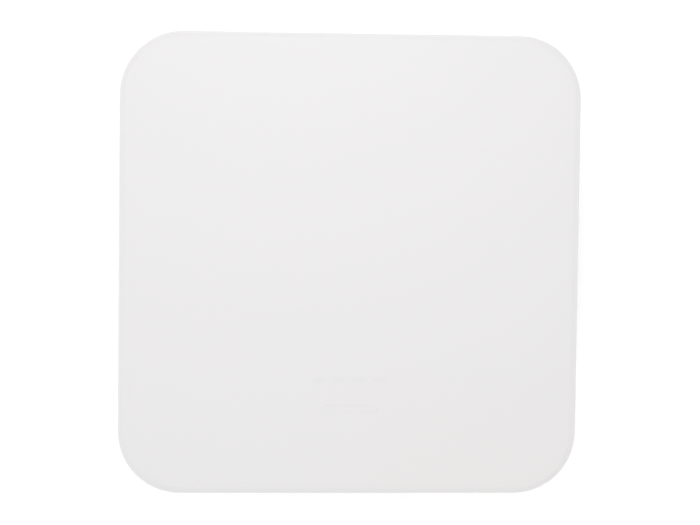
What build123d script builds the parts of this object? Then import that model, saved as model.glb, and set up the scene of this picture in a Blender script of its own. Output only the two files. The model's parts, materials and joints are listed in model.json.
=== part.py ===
from build123d import *
from math import atan2, cos, degrees, pi, radians, sin, sqrt, tan
import os

# A square indoor wireless access point with its twist-on ceiling bracket.
# Millimetres. The unit lies on its back: Z = 0 is the ceiling or wall plane, +Z points out of the
# cover into the room, +X is right and +Y is up as the unit is seen from the front.
# Every level is stacked up from the ceiling plane, so the overall height follows from what is inside.

# ---------------------------------------------------------------- case
body_width = 210.0
body_length = 210.0
corner_radius = 29.0
cover_wall = 2.3
cover_draft = 2.5  # degrees that the cover's sides lean in
cover_edge_radius = 3.5
crown_rise = 1.2  # how far the face's middle stands above the middle of its side edges
skirt_bottom = 14.0
housing_wall = 2.2
housing_slope = 26.0  # degrees that the housing's sides lean in towards the ceiling
housing_edge_radius = 2.0
cavity_slope = 18.0
rim_gap = 1.6  # from the ceiling to the housing's rear rim
reveal_gap = 0.5  # shadow line between cover and housing
reveal_step = 0.4
lip_height = 6.5
lip_wall = 2.0
lip_clearance = 0.25

# ---------------------------------------------------------------- ceiling bracket
bracket_margin = 10.0  # from the studs' circle to the bracket's edge
plate_thickness = 1.5
pad_height = 2.6  # the dished feet at the screw holes stand the plate off the ceiling
pad_radius = 6.0
pad_spread = 2.6  # extra radius where a foot meets the plate
pad_spacing = 72.0
pad_hole_radius = 2.3
bracket_rim_wall = 1.5
bracket_rim_lift = 0.6  # the turned-down rim ends this far above the ceiling plane
gang_box_spacing = 83.3
gang_hole_radius = 2.2
round_box_spacing = 60.0
recess_gap = 5.0  # between the bracket's edge and the wall of the recess around it
cable_opening_width = 40.0
cable_opening_height = 18.0
cable_opening_y = 27.0
cable_opening_corner = 5.0

# ---------------------------------------------------------------- bayonet
pad_stud_gap = 1.3  # between a foot and the head of a stud that turns past it
stud_start_angle = 45.0
twist_travel = 15.0  # degrees from locked to free
stud_neck_radius = 2.1
stud_head_radius = 4.2
stud_head_height = 1.5
stud_shoulder_radius = 4.5
stud_gap = 0.3  # play between stud and plate, above, below and beside
keyhole_clearance = 0.5
stud_thread_radius = 1.95
stud_thread_length = 4.8
recess_headroom = 3.9  # from the plate to the recess's roof: the length of a stud's shoulder and its gap
stud_boss_radius = 5.5
stud_boss_height = 3.6

# ---------------------------------------------------------------- hooks for a 24 mm ceiling rail
rail_width = 24.0
rail_side_gap = 1.0
hook_spacing = 60.0
hook_width = 12.0
hook_lip_thickness = 1.0
hook_lip_reach = 3.0
hook_ceiling_gap = 0.2
hook_tab_wall = 1.2
turn_hook_radius = 3.2
turn_hook_reach = 5.2
turn_hook_fit = 0.08
hook_screw_radius = 1.5
hook_screw_head_radius = 5.0
hook_screw_head_height = 1.6

# ---------------------------------------------------------------- fasteners
small_shank_radius = 1.45
small_head_radius = 2.8
small_head_height = 1.9
thread_gap = 0.05
hole_clearance = 0.25
driver_recess_radius = 1.2
driver_recess_depth = 1.0

# ---------------------------------------------------------------- cable bay and ports
bay_half_width = 41.0
bay_half_length = 34.0
bay_wall = 2.0
bay_roof_thickness = 1.6
bay_roof_gap = 0.8  # from the bay's roof to the board above it
bay_fit = 0.15  # between the liner and the hole in the housing that it drops into
bay_flange_width = 2.6
bay_flange_thickness = 1.0
port_gap = 3.0
port_window_gap = 0.3
port_setback = 0.5
jack_width = 16.2
jack_depth = 21.0
jack_height = 13.4
jack_floor_gap = 1.2
socket_width = 11.9
socket_height = 8.0
socket_floor = 2.4
socket_depth = 15.0
latch_width = 6.2
latch_depth = 1.4
contact_pitch = 1.02
contact_size = 0.35
contact_length = 7.5
contact_slope = 16.0
jack_light_width = 2.6
jack_light_height = 1.8
jack_light_depth = 3.0
usb_width = 13.4
usb_depth = 14.5
usb_height = 6.8
usb_wall = 0.6
usb_tongue_thickness = 1.9
usb_tongue_depth = 8.5
power_width = 9.0
power_depth = 13.5
power_height = 11.0
power_bore_radius = 3.2
power_bore_depth = 9.5
power_pin_radius = 1.0
reset_width = 6.2
reset_depth = 3.6
reset_height = 7.0
reset_button_radius = 1.5
reset_button_length = 3.8
reset_travel = 0.4
reset_gap = 0.4
reset_fit = 0.06
pinhole_radius = 1.2

# ---------------------------------------------------------------- main board
board_margin = 25.0
board_corner_cut = 8.0
board_thickness = 1.6
board_post_radius = 3.5
standoff_inset = 9.0
standoff_flats = 5.5
standoff_height = 5.0
edge_screw_inset = 6.0
side_screw_y = 20.0
end_screw_x = 44.0
cover_boss_inset = 22.0
cover_boss_radius = 4.5
cover_boss_bottom = 16.0
cover_screw_seat = 6.0
cover_screw_length = 20.0
screw_head_well = 0.5
processor_size = 21.0
processor_height = 1.8
processor_y = -58.0
radio_size = 12.0
radio_height = 1.4
radio_x = 54.0
pedestal_gap = 2.6  # from the board to the housing's heat pedestals
pedestal_margin = 1.0
memory_x = 22.0
memory_width = 9.0
memory_length = 13.0
memory_height = 1.1
transformer_x = 54.5
transformer_y = 48.0
transformer_width = 14.0
transformer_length = 13.0
transformer_height = 10.5
capacitor_radius = 4.0
capacitor_height = 9.0
capacitor_edge_radius = 0.6
capacitor_x = -54.0
capacitor_y = (43.0, 53.0)
inductor_x = 52.0
inductor_y = 32.0
inductor_size = 7.0
inductor_height = 4.0
shield_width = 22.0
shield_length = 26.0
shield_height = 2.4
shield_sheet = 0.3
shield_edge_inset = 48.0
shield_y = 20.0
front_end_size = 4.0
front_end_height = 0.9
front_end_pitch = 9.0

# ---------------------------------------------------------------- antennas and their leads
plate_margin = 17.0
plate_corner_cut = 19.0
antenna_plate_thickness = 1.0
antenna_plate_lip = 3.0
antenna_sheet = 0.5
antenna_height = 6.0
antenna_foot_width = 8.0
antenna_foot_length = 5.0
high_band_length = 16.0
high_band_arm = 4.0
high_band_inset = 25.0
low_band_length = 28.0
low_band_arm = 5.5
low_band_inset = 10.0
low_band_shift = 38.0
bluetooth_x = -30.0
bluetooth_inset = 9.0
bluetooth_width = 18.0
bluetooth_length = 7.0
bluetooth_height = 2.6
coax_radius = 0.7
coax_lift = 0.1
coax_end_gap = 0.3
coax_feed_run = 5.5
coax_plug_run = 5.2
coax_weave = 0.6
coax_slot_length = 12.0
coax_slot_width = 4.5
plug_size = 3.0
plug_height = 1.6
high_plug_inset = 33.0
low_plug_inset = 24.0
low_plug_shift = 30.0
bluetooth_plug_x = -25.0
bluetooth_plug_inset = 22.0

# ---------------------------------------------------------------- status lights
window_count = 4
window_pitch = 9.0
window_width = 6.0
window_height = 2.0
window_y = -52.0
window_fit = 0.08
pipe_bar_half_length = 23.0
pipe_bar_width = 5.0
pipe_bar_thickness = 2.0
pipe_bar_lift = 2.2  # above the antenna plate
pipe_leg_width = 3.0
pipe_stake_x = 20.0
pipe_stake_radius = 1.0
led_width = 1.6
led_length = 0.9
led_height = 0.7
led_air_gap = 0.3
plain_bar_width = 26.0
plain_bar_height = 3.0
plain_bar_y = -65.0
plain_bar_depth = 0.25

# ---------------------------------------------------------------- vents, lock slot and label
vent_count = 9
vent_pitch = 7.0
vent_width = 2.4
vent_bottom = 5.0
vent_top = 11.6
lock_slot_y = 58.0
lock_slot_width = 7.2
lock_slot_height = 3.2
lock_slot_z = 8.5
label_width = 52.0
label_length = 22.0
label_thickness = 0.15
label_y = -56.0

# ---------------------------------------------------------------- levels, from the ceiling out
cover_headroom = 3.0
plate_bottom = pad_height
plate_top = plate_bottom + plate_thickness
recess_roof = plate_top + recess_headroom
floor_top = recess_roof + housing_wall
board_bottom = floor_top + jack_floor_gap + jack_height
board_top = board_bottom + board_thickness
bay_roof_top = board_bottom - bay_roof_gap
bay_roof = bay_roof_top - bay_roof_thickness
antenna_plate_bottom = board_top + standoff_height
antenna_plate_top = antenna_plate_bottom + antenna_plate_thickness
antenna_top = antenna_plate_top + antenna_height
inner_apex = antenna_top + cover_headroom
apex = inner_apex + cover_wall
shoulder_z = skirt_bottom - reveal_gap
lip_top = skirt_bottom + lip_height
deep_floor_top = rim_gap + housing_wall
pedestal_top = board_bottom - pedestal_gap
crown_radius = (min(body_width, body_length) / 2) ** 2 / (2 * crown_rise) + crown_rise / 2

# ---------------------------------------------------------------- circles, from the feet outwards
pad_circle_radius = pad_spacing / sqrt(2)
stud_circle_radius = pad_circle_radius + pad_radius + pad_spread + pad_stud_gap + stud_head_radius
bracket_radius = stud_circle_radius + bracket_margin
recess_radius = bracket_radius + recess_gap

# ---------------------------------------------------------------- places shared by several pieces
half_width = body_width / 2
half_length = body_length / 2
board_half_x = half_width - board_margin
board_half_y = half_length - board_margin
plate_half_x = half_width - plate_margin
plate_half_y = half_length - plate_margin
bay_port_face = bay_half_length
port_face = bay_port_face + port_setback
jack_bottom = board_bottom - jack_height
socket_bottom = jack_bottom + socket_floor
LOW = (Align.CENTER, Align.CENTER, Align.MIN)


def four_ways(x, y):
    """The four mirror images of a point, counterclockwise from the +X +Y one."""
    return [(x, y), (-x, y), (-x, -y), (x, -y)]


cover_boss_places = four_ways(half_width - cover_boss_inset, half_length - cover_boss_inset)
standoff_places = four_ways(board_half_x - standoff_inset, board_half_y - standoff_inset)
board_screw_places = [
    (board_half_x - edge_screw_inset, side_screw_y),
    (edge_screw_inset - board_half_x, side_screw_y),
    *four_ways(end_screw_x, board_half_y - edge_screw_inset),
]
pad_places = four_ways(pad_spacing / 2, pad_spacing / 2)
shield_places = four_ways(board_half_x - shield_edge_inset, shield_y)
window_places = [(i - (window_count - 1) / 2) * window_pitch for i in range(window_count)]
turn_hook_y = -(rail_width / 2 + rail_side_gap + turn_hook_radius)

# Ports stand in one row, centred on X = 0: name, width.
port_row = [
    ("power", power_width),
    ("uplink", jack_width),
    ("second", jack_width),
    ("usb", usb_width),
    ("reset", reset_width),
]


def port_places():
    """The X of each port's middle."""
    total = sum(width for _, width in port_row) + port_gap * (len(port_row) - 1)
    places, x = {}, -total / 2
    for name, width in port_row:
        places[name] = x + width / 2
        x += width + port_gap
    return places


port_x = port_places()
reset_z = board_bottom - reset_height / 2


# ---------------------------------------------------------------- shapes used by many pieces
def post(radius, bottom, top, x=0.0, y=0.0):
    """A round post or hole that stands along Z."""
    return Pos(x, y, bottom) * Cylinder(radius, top - bottom, align=LOW)


def cone(bottom_radius, top_radius, bottom, top, x=0.0, y=0.0):
    """A round taper that stands along Z."""
    return Pos(x, y, bottom) * Cone(bottom_radius, top_radius, top - bottom, align=LOW)


def block(x_span, y_span, z_span):
    """A box between two X values, two Y values and two Z values."""
    (x0, x1), (y0, y1), (z0, z1) = x_span, y_span, z_span
    return Pos((x0 + x1) / 2, (y0 + y1) / 2, z0) * Box(x1 - x0, y1 - y0, z1 - z0, align=LOW)


def centred_block(x, y, width, length, bottom, top):
    """A box that stands on Z around the point x, y."""
    return Pos(x, y, bottom) * Box(width, length, top - bottom, align=LOW)


def slab(width, length, radius, bottom, top, draft=0.0):
    """A rounded rectangle grown up from bottom to top, its sides leaning in by draft degrees."""
    return extrude(Pos(0, 0, bottom) * RectangleRounded(width, length, radius), top - bottom, taper=draft)


def hanging_slab(width, length, radius, top, bottom, draft):
    """A rounded rectangle grown down from top to bottom, its sides leaning in by draft degrees."""
    outline = Pos(0, 0, top) * RectangleRounded(width, length, radius)
    return extrude(outline, top - bottom, dir=(0, 0, -1), taper=draft)


def cut_corner_sheet(half_x, half_y, corner_cut, bottom, top):
    """A rectangular sheet with its four corners cut off at 45 degrees."""
    outline = chamfer(Rectangle(2 * half_x, 2 * half_y).vertices(), corner_cut)
    return extrude(Pos(0, 0, bottom) * outline, top - bottom)


def pill(width, height, bottom, top, x=0.0, y=0.0, angle=0.0):
    """A bar with round ends, that stands on Z."""
    return extrude(Pos(x, y, bottom) * Rot(0, 0, angle) * SlotOverall(width, height), top - bottom)


def turned(shape, angle):
    """A shape turned about the Z axis."""
    return Rot(0, 0, angle) * shape


def as_one(pieces):
    """Separate solids of one node, kept apart."""
    return Compound([solid for piece in pieces for solid in piece.solids()])


def face_height(x, y, top):
    """The height of a crowned surface whose highest point is at top."""
    return top - crown_radius + sqrt(crown_radius**2 - x**2 - y**2)


def circles_above(shape, height):
    """The round edges of a shape that lie above a height."""
    return [edge for edge in shape.edges() if edge.center().Z > height and edge.geom_type == GeomType.CIRCLE]


def pan_screw(x, y, seat, length, up=True):
    """A pan head screw. Its head bears on the seat level, and the shank goes down, or up."""
    head_height = small_head_height
    head = post(small_head_radius, 0, head_height)
    head = fillet(circles_above(head, head_height / 2), head_height / 3)
    head -= post(driver_recess_radius, head_height - driver_recess_depth, head_height)
    screw = head + post(small_shank_radius, -length, 0)
    turn = Rot(0, 0, 0) if up else Rot(180, 0, 0)
    return Pos(x, y, seat) * turn * screw


# ---------------------------------------------------------------- case
def cover_solid(inset, top, edge_radius):
    """The cover's outside, or its hollow when inset is the wall: drafted sides under a crowned face."""
    width, length = body_width - 2 * inset, body_length - 2 * inset
    body = slab(width, length, corner_radius - inset, skirt_bottom, top + 1, cover_draft)
    radius = crown_radius - inset
    body = body & (Pos(0, 0, top - radius) * Rot(90, 0, 0) * Sphere(radius))
    rim_level = face_height(half_width, half_length, top) - cover_edge_radius
    rim = [edge for edge in body.edges() if edge.center().Z > rim_level]
    return fillet(rim, edge_radius)


def front_cover():
    """The plastic radome: one shell with screw bosses, light windows and the stakes of the light pipe."""
    outside = cover_solid(0, apex, cover_edge_radius)
    hollow = cover_solid(cover_wall, inner_apex, cover_edge_radius - cover_wall)
    cover = outside - hollow
    for x, y in cover_boss_places:
        cover += post(cover_boss_radius, cover_boss_bottom, apex, x, y) & outside
        cover -= post(
            small_shank_radius + thread_gap,
            cover_boss_bottom,
            cover_screw_seat + cover_screw_length + screw_head_well,
            x,
            y,
        )
    bar_bottom = antenna_plate_top + pipe_bar_lift
    for side in (-1, 1):
        stake = post(pipe_stake_radius, bar_bottom - screw_head_well, apex, side * pipe_stake_x, window_y)
        cover += stake & outside
    for x in window_places:
        cover -= pill(window_width, window_height, inner_apex - cover_wall, apex + 1, x, window_y)
    bar_floor = face_height(0, plain_bar_y, apex) - plain_bar_depth
    cover -= pill(plain_bar_width, plain_bar_height, bar_floor, apex + 1, 0, plain_bar_y)
    return cover


def housing_envelope():
    """The housing's outside: a sloping tray with an upright lip that the cover's skirt slides over."""
    width, length = body_width - 2 * reveal_step, body_length - 2 * reveal_step
    tray = hanging_slab(width, length, corner_radius - reveal_step, shoulder_z, rim_gap, housing_slope)
    rear_edges = [edge for edge in tray.edges() if edge.center().Z < rim_gap + 0.01]
    tray = fillet(rear_edges, housing_edge_radius)
    draft_inset = lip_height * tan(radians(cover_draft))
    inset = cover_wall + draft_inset + lip_clearance
    lip = slab(body_width - 2 * inset, body_length - 2 * inset, corner_radius - inset, shoulder_z, lip_top)
    return tray, lip, inset + lip_wall


def rear_housing():
    """The die-cast tray: recess for the bracket, hole for the cable bay, posts, pedestals and vents."""
    tray, lip, cavity_inset = housing_envelope()
    width, length = body_width - 2 * cavity_inset, body_length - 2 * cavity_inset
    radius = corner_radius - cavity_inset
    cavity = slab(width, length, radius, shoulder_z, lip_top)
    cavity += hanging_slab(width, length, radius, shoulder_z, deep_floor_top, cavity_slope)
    housing = tray + lip - cavity
    housing += post(recess_radius + housing_wall, rim_gap, floor_top) & tray
    floor_middle = rim_gap + housing_wall / 2
    for x, y in standoff_places + board_screw_places:
        housing += post(board_post_radius, floor_middle, board_bottom, x, y)
    for x, y in cover_boss_places:
        housing += post(cover_boss_radius, floor_middle, cover_boss_bottom, x, y)
    for x, y in stud_places():
        housing += post(stud_boss_radius, recess_roof, floor_top + stud_boss_height, x, y)
    pad_side = processor_size + 2 * pedestal_margin
    housing += centred_block(0, processor_y, pad_side, pad_side, recess_roof, pedestal_top)
    pad_side = radio_size + 2 * pedestal_margin
    for side in (-1, 1):
        housing += centred_block(side * radio_x, 0, pad_side, pad_side, recess_roof, pedestal_top)
    housing -= post(recess_radius, rim_gap - 1, recess_roof)
    housing -= bay_block(bay_wall + bay_fit, rim_gap, floor_top)
    for cutter in housing_holes() + side_vents():
        housing -= cutter
    return housing


def bay_block(margin, bottom, top):
    """The cable bay's outline, grown by a margin."""
    width, length = 2 * (bay_half_width + margin), 2 * (bay_half_length + margin)
    return centred_block(0, 0, width, length, bottom, top)


def bay_liner():
    """The moulded box of the cable bay. It drops into the housing until its flange lies on the floor."""
    liner = bay_block(bay_wall, recess_roof, bay_roof_top)
    liner += bay_block(bay_wall + bay_flange_width, floor_top, floor_top + bay_flange_thickness)
    liner -= bay_block(0, rim_gap, bay_roof)
    for cutter in port_windows():
        liner -= cutter
    return liner


def stud_places():
    """The four studs' middles."""
    angles = [radians(stud_start_angle + 90 * i) for i in range(4)]
    return [(stud_circle_radius * cos(a), stud_circle_radius * sin(a)) for a in angles]


def housing_holes():
    """Threaded holes for board, standoffs and studs, and the wells of the cover's screws."""
    tap = small_shank_radius + thread_gap
    depth = 9.0
    holes = [
        post(tap, board_bottom - depth, board_bottom, x, y) for x, y in standoff_places + board_screw_places
    ]
    for x, y in stud_places():
        top = recess_roof + stud_thread_length + screw_head_well / 2
        holes.append(post(stud_thread_radius + thread_gap, recess_roof, top, x, y))
    for x, y in cover_boss_places:
        holes.append(post(small_head_radius + screw_head_well, rim_gap, cover_screw_seat, x, y))
        holes.append(post(small_shank_radius + hole_clearance, cover_screw_seat, cover_boss_bottom, x, y))
    return holes


def port_windows():
    """A notch for each port, open towards the board so that board and ports drop in, and the pinhole."""
    heights = {"power": power_height, "uplink": jack_height, "second": jack_height, "usb": usb_height}
    windows = []
    for name, width in port_row:
        if name in heights:
            windows.append(
                block(
                    (port_x[name] - width / 2 - port_window_gap, port_x[name] + width / 2 + port_window_gap),
                    (bay_port_face - 1, bay_port_face + bay_wall + 1),
                    (board_bottom - heights[name] - port_window_gap, board_bottom),
                )
            )
    pinhole = Pos(port_x["reset"], bay_port_face + bay_wall / 2, reset_z) * Rot(90, 0, 0)
    return windows + [pinhole * Cylinder(pinhole_radius, 2 * bay_wall)]


def side_vents():
    """A row of upright slots in each side wall, and the security slot in the right one."""
    keep = post(recess_radius + housing_wall, rim_gap, shoulder_z)
    reach = housing_wall + (shoulder_z - rim_gap) * tan(radians(housing_slope)) + lip_wall
    cutters = []
    for side in (-1, 1):
        for i in range(vent_count):
            y = (i - (vent_count - 1) / 2) * vent_pitch
            x = side * (half_width - reach / 2)
            slot = centred_block(x, y, reach + 1, vent_width, vent_bottom, vent_top)
            cutters.append(slot - keep)
    lock = centred_block(
        half_width - reach / 2,
        lock_slot_y,
        reach + 1,
        lock_slot_width,
        lock_slot_z - lock_slot_height / 2,
        lock_slot_z + lock_slot_height / 2,
    )
    return cutters + [lock - keep]


def cover_screws():
    """Four long screws from the housing's back into the cover's bosses."""
    return as_one(
        [pan_screw(x, y, cover_screw_seat, cover_screw_length, up=False) for x, y in cover_boss_places]
    )


def mounting_studs():
    """Four shouldered studs, screwed into the housing, whose heads hang in the bracket's keyholes."""
    studs = []
    neck_top = plate_top + stud_gap
    head_top = plate_bottom - stud_gap
    for x, y in stud_places():
        stud = post(stud_head_radius, head_top - stud_head_height, head_top)
        stud += post(stud_neck_radius, head_top, neck_top)
        stud += post(stud_shoulder_radius, neck_top, recess_roof)
        stud += post(stud_thread_radius, recess_roof, recess_roof + stud_thread_length)
        stud -= post(driver_recess_radius, head_top - stud_head_height, head_top - stud_head_height + 1)
        studs.append(Pos(x, y, 0) * stud)
    return as_one(studs)


def blank_label():
    """A bare sticker on the roof of the recess."""
    return slab(label_width, label_length, 2.0, recess_roof - label_thickness, recess_roof).moved(
        Location((0, label_y, 0))
    )


# ---------------------------------------------------------------- ceiling bracket
def keyhole(angle):
    """A curved slot with a round entry, cut for one stud."""
    half = stud_neck_radius + stud_gap
    inner = stud_circle_radius - half
    bottom, top = plate_bottom - 1, plate_top + 1
    ring = post(inner + 2 * half, bottom, top) - post(inner, bottom, top)
    far = 2 * bracket_radius
    start, end = radians(angle), radians(angle + twist_travel)
    wedge = Polygon(
        (0, 0), (far * cos(start), far * sin(start)), (far * cos(end), far * sin(end)), align=None
    )
    slot = ring & extrude(Pos(0, 0, bottom) * wedge, top - bottom)
    places = [(stud_circle_radius * cos(a), stud_circle_radius * sin(a)) for a in (start, end)]
    slot += post(half, bottom, top, *places[0])
    slot += post(stud_head_radius + keyhole_clearance, bottom, top, *places[1])
    return slot


def fixed_rail_hook(x):
    """A tab bent out of the plate that hooks over the far edge of a ceiling rail."""
    wall_y = rail_width / 2 + rail_side_gap
    x_span = (x - hook_width / 2, x + hook_width / 2)
    tab = block(x_span, (wall_y, wall_y + hook_tab_wall), (hook_ceiling_gap, plate_top))
    lip = block(
        x_span,
        (wall_y - rail_side_gap - hook_lip_reach, wall_y + hook_tab_wall),
        (hook_ceiling_gap, hook_ceiling_gap + hook_lip_thickness),
    )
    return tab + lip


def hook_window(x):
    """The hole that is left where a fixed hook was bent out."""
    wall_y = rail_width / 2 + rail_side_gap
    tab_length = plate_top - hook_ceiling_gap + rail_side_gap + hook_lip_reach
    return centred_block(
        x, wall_y - tab_length / 2, hook_width + 2 * stud_gap, tab_length, plate_bottom - 1, plate_top + 1
    )


def bracket_plate():
    """The pressed steel plate that is screwed to the ceiling or hooked to its rail."""
    plate = post(bracket_radius, plate_bottom, plate_top)
    plate += post(bracket_radius, bracket_rim_lift, plate_bottom) - post(
        bracket_radius - bracket_rim_wall, bracket_rim_lift, plate_bottom
    )
    through = (plate_bottom - 1, plate_top + 1)
    dish_floor = plate_thickness
    for x, y in pad_places:
        plate += cone(pad_radius, pad_radius + pad_spread, 0, plate_bottom, x, y)
        plate -= cone(pad_radius - 1, pad_radius + pad_spread - 1, dish_floor, plate_top, x, y)
        plate -= post(pad_hole_radius, -1, dish_floor + 1, x, y)
    rail_path = rail_width + 2 * rail_side_gap
    plate -= centred_block(0, 0, 2 * bracket_radius, rail_path, bracket_rim_lift, plate_bottom)
    for i in range(4):
        plate -= keyhole(stud_start_angle + 90 * i)
    for side in (-1, 1):
        plate -= post(gang_hole_radius, *through, 0, side * gang_box_spacing / 2)
        plate -= post(gang_hole_radius, *through, side * round_box_spacing / 2, 0)
        opening = slab(cable_opening_width, cable_opening_height, cable_opening_corner, *through)
        plate -= Pos(0, side * cable_opening_y, 0) * opening
        plate -= hook_window(side * hook_spacing / 2)
        plate -= post(turn_hook_radius + turn_hook_fit, *through, side * hook_spacing / 2, turn_hook_y)
    for side in (-1, 1):
        plate += fixed_rail_hook(side * hook_spacing / 2)
    return plate


def rail_hook(side):
    """A quarter-turn hook: a round post through the plate with a finger that reaches over the rail."""
    lip_top = hook_ceiling_gap + hook_lip_thickness
    post_top = plate_top + turn_hook_fit
    hook = post(turn_hook_radius, hook_ceiling_gap, post_top)
    finger = pill(
        turn_hook_reach + 2 * turn_hook_radius,
        2 * turn_hook_radius,
        hook_ceiling_gap,
        lip_top,
        0,
        turn_hook_reach / 2,
        90,
    )
    hook += finger
    hook -= post(hook_screw_radius + thread_gap, lip_top, post_top)
    return Pos(side * hook_spacing / 2, turn_hook_y, 0) * hook


def rail_hook_screw(side):
    """The wide-headed screw that clamps a quarter-turn hook."""
    seat = plate_top + turn_hook_fit
    lip_top = hook_ceiling_gap + hook_lip_thickness
    screw = post(hook_screw_head_radius, seat, seat + hook_screw_head_height)
    screw = fillet(circles_above(screw, seat + hook_screw_head_height / 2), hook_screw_head_height / 3)
    screw += post(hook_screw_radius, lip_top + screw_head_well, seat)
    slot_depth = hook_screw_head_height / 2
    screw -= centred_block(0, 0, 2 * hook_screw_head_radius, 1.2, seat + slot_depth, seat + 2 * slot_depth)
    return Pos(side * hook_spacing / 2, turn_hook_y, 0) * screw


# ---------------------------------------------------------------- main board and what is soldered to it
def main_board():
    """The circuit board, with its mounting holes."""
    board = cut_corner_sheet(board_half_x, board_half_y, board_corner_cut, board_bottom, board_top)
    for x, y in standoff_places + board_screw_places:
        board -= post(small_shank_radius + hole_clearance, board_bottom, board_top, x, y)
    return board


def board_standoffs():
    """Hexagonal spacers at the board's corners, with a stud below and a threaded hole above."""
    spacers = []
    for x, y in standoff_places:
        hexagon = RegularPolygon(standoff_flats / 2, 6, major_radius=False)
        body = extrude(Pos(0, 0, board_top) * hexagon, standoff_height)
        body += post(small_shank_radius, board_bottom - 6, board_top)
        body -= post(small_shank_radius + thread_gap, board_top + 0.6, antenna_plate_bottom)
        spacers.append(Pos(x, y, 0) * body)
    return as_one(spacers)


def board_screws():
    """Six screws that hold the board to the housing's posts."""
    return as_one([pan_screw(x, y, board_top, 7.5) for x, y in board_screw_places])


def processor_chip():
    """The main processor, under the board so that it faces the housing."""
    return centred_block(
        0, processor_y, processor_size, processor_size, board_bottom - processor_height, board_bottom
    )


def radio_chips():
    """The two radio chips, left and right of the cable bay."""
    return as_one(
        [
            centred_block(x, 0, radio_size, radio_size, board_bottom - radio_height, board_bottom)
            for x in (-radio_x, radio_x)
        ]
    )


def thermal_pads():
    """Soft pads that carry heat from each chip to the housing's pedestals."""
    size, top = processor_size, board_bottom - processor_height
    pads = [centred_block(0, processor_y, size, size, pedestal_top, top)]
    size, top = radio_size, board_bottom - radio_height
    for x in (-radio_x, radio_x):
        pads.append(centred_block(x, 0, size, size, pedestal_top, top))
    return as_one(pads)


def memory_chips():
    """Two memory chips beside the processor."""
    bottom = board_bottom - memory_height
    return as_one(
        [
            centred_block(x, processor_y, memory_width, memory_length, bottom, board_bottom)
            for x in (-memory_x, memory_x)
        ]
    )


def supply_transformer():
    """The power converter's transformer: a winding in a ferrite core."""
    bottom = board_bottom - transformer_height
    core = centred_block(
        transformer_x, transformer_y, transformer_width, transformer_length - 4, bottom, board_bottom - 1
    )
    winding = centred_block(
        transformer_x, transformer_y, transformer_width - 5, transformer_length, bottom + 2, board_bottom
    )
    return core + winding


def capacitors():
    """Electrolytic capacitors that stand on the board's underside."""
    cans = []
    for y in capacitor_y:
        can = post(capacitor_radius, board_bottom - capacitor_height, board_bottom, capacitor_x, y)
        circles = can.edges().filter_by(GeomType.CIRCLE)
        ends = [edge for edge in circles if edge.center().Z < board_bottom - 1]
        cans.append(fillet(ends, capacitor_edge_radius))
    return as_one(cans)


def inductors():
    """Two square power inductors."""
    bottom = board_bottom - inductor_height
    return as_one(
        [
            centred_block(x, inductor_y, inductor_size, inductor_size, bottom, board_bottom)
            for x in (-inductor_x, inductor_x)
        ]
    )


def shield_can(x, y):
    """A pressed tin lid over one radio front end."""
    outside = centred_block(x, y, shield_width, shield_length, board_top, board_top + shield_height)
    inside = centred_block(
        x,
        y,
        shield_width - 2 * shield_sheet,
        shield_length - 2 * shield_sheet,
        board_top,
        board_top + shield_height - shield_sheet,
    )
    return outside - inside


def front_end_chips():
    """Two amplifier chips under each shield can."""
    size, top = front_end_size, board_top + front_end_height
    chips = []
    for x, y in shield_places:
        for shift in (-front_end_pitch / 2, front_end_pitch / 2):
            chips.append(centred_block(x, y + shift, size, size, board_top, top))
    return as_one(chips)


# ---------------------------------------------------------------- ports
def network_jack(name):
    """A shielded modular jack: a box with the plug's opening, latch channel and two light pockets."""
    x = port_x[name]
    body = block(
        (x - jack_width / 2, x + jack_width / 2),
        (port_face, port_face + jack_depth),
        (jack_bottom, board_bottom),
    )
    body -= block(
        (x - socket_width / 2, x + socket_width / 2),
        (port_face, port_face + socket_depth),
        (socket_bottom, socket_bottom + socket_height),
    )
    body -= block(
        (x - latch_width / 2, x + latch_width / 2),
        (port_face, port_face + socket_depth),
        (socket_bottom - latch_depth, socket_bottom),
    )
    for light in jack_light_blocks(name, thread_gap):
        body -= light
    return body


def jack_light_blocks(name, margin):
    """The two small lights in a jack's face, grown by a margin to cut their pockets."""
    z = (socket_bottom + socket_height + board_bottom) / 2
    half_w, half_h = jack_light_width / 2 + margin, jack_light_height / 2 + margin
    y_span = (port_face, port_face + jack_light_depth + margin)
    blocks = []
    for side in (-1, 1):
        x = port_x[name] + side * (socket_width - jack_light_width) / 2
        blocks.append(block((x - half_w, x + half_w), y_span, (z - half_h, z + half_h)))
    return blocks


def jack_lights():
    """Link lights of both jacks."""
    return as_one(jack_light_blocks("uplink", 0) + jack_light_blocks("second", 0))


def jack_contacts():
    """Eight sprung contacts in each jack, sloping down from the socket's roof."""
    roof = socket_bottom + socket_height
    wires = []
    for name in ("uplink", "second"):
        for i in range(8):
            x = port_x[name] + (i - 3.5) * contact_pitch
            hung = (Align.CENTER, Align.MIN, Align.MAX)
            wire = Box(contact_size, contact_length, contact_size, align=hung)
            wires.append(Pos(x, port_face + 3, roof - thread_gap) * Rot(-contact_slope, 0, 0) * wire)
    return as_one(wires)


def usb_port():
    """A folded metal shell with a contact tongue."""
    x, bottom = port_x["usb"], board_bottom - usb_height
    y0, y1 = port_face, port_face + usb_depth
    half = usb_width / 2
    shell = block((x - half, x + half), (y0, y1), (bottom, board_bottom))
    shell -= block(
        (x - half + usb_wall, x + half - usb_wall),
        (y0, y1 - 3 * usb_wall),
        (bottom + usb_wall, board_bottom - usb_wall),
    )
    middle = (bottom + board_bottom) / 2
    tongue = block(
        (x - half + 2 * usb_wall, x + half - 2 * usb_wall),
        (y1 - 3 * usb_wall - usb_tongue_depth, y1 - 3 * usb_wall),
        (middle, middle + usb_tongue_thickness),
    )
    return shell + tongue


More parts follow.
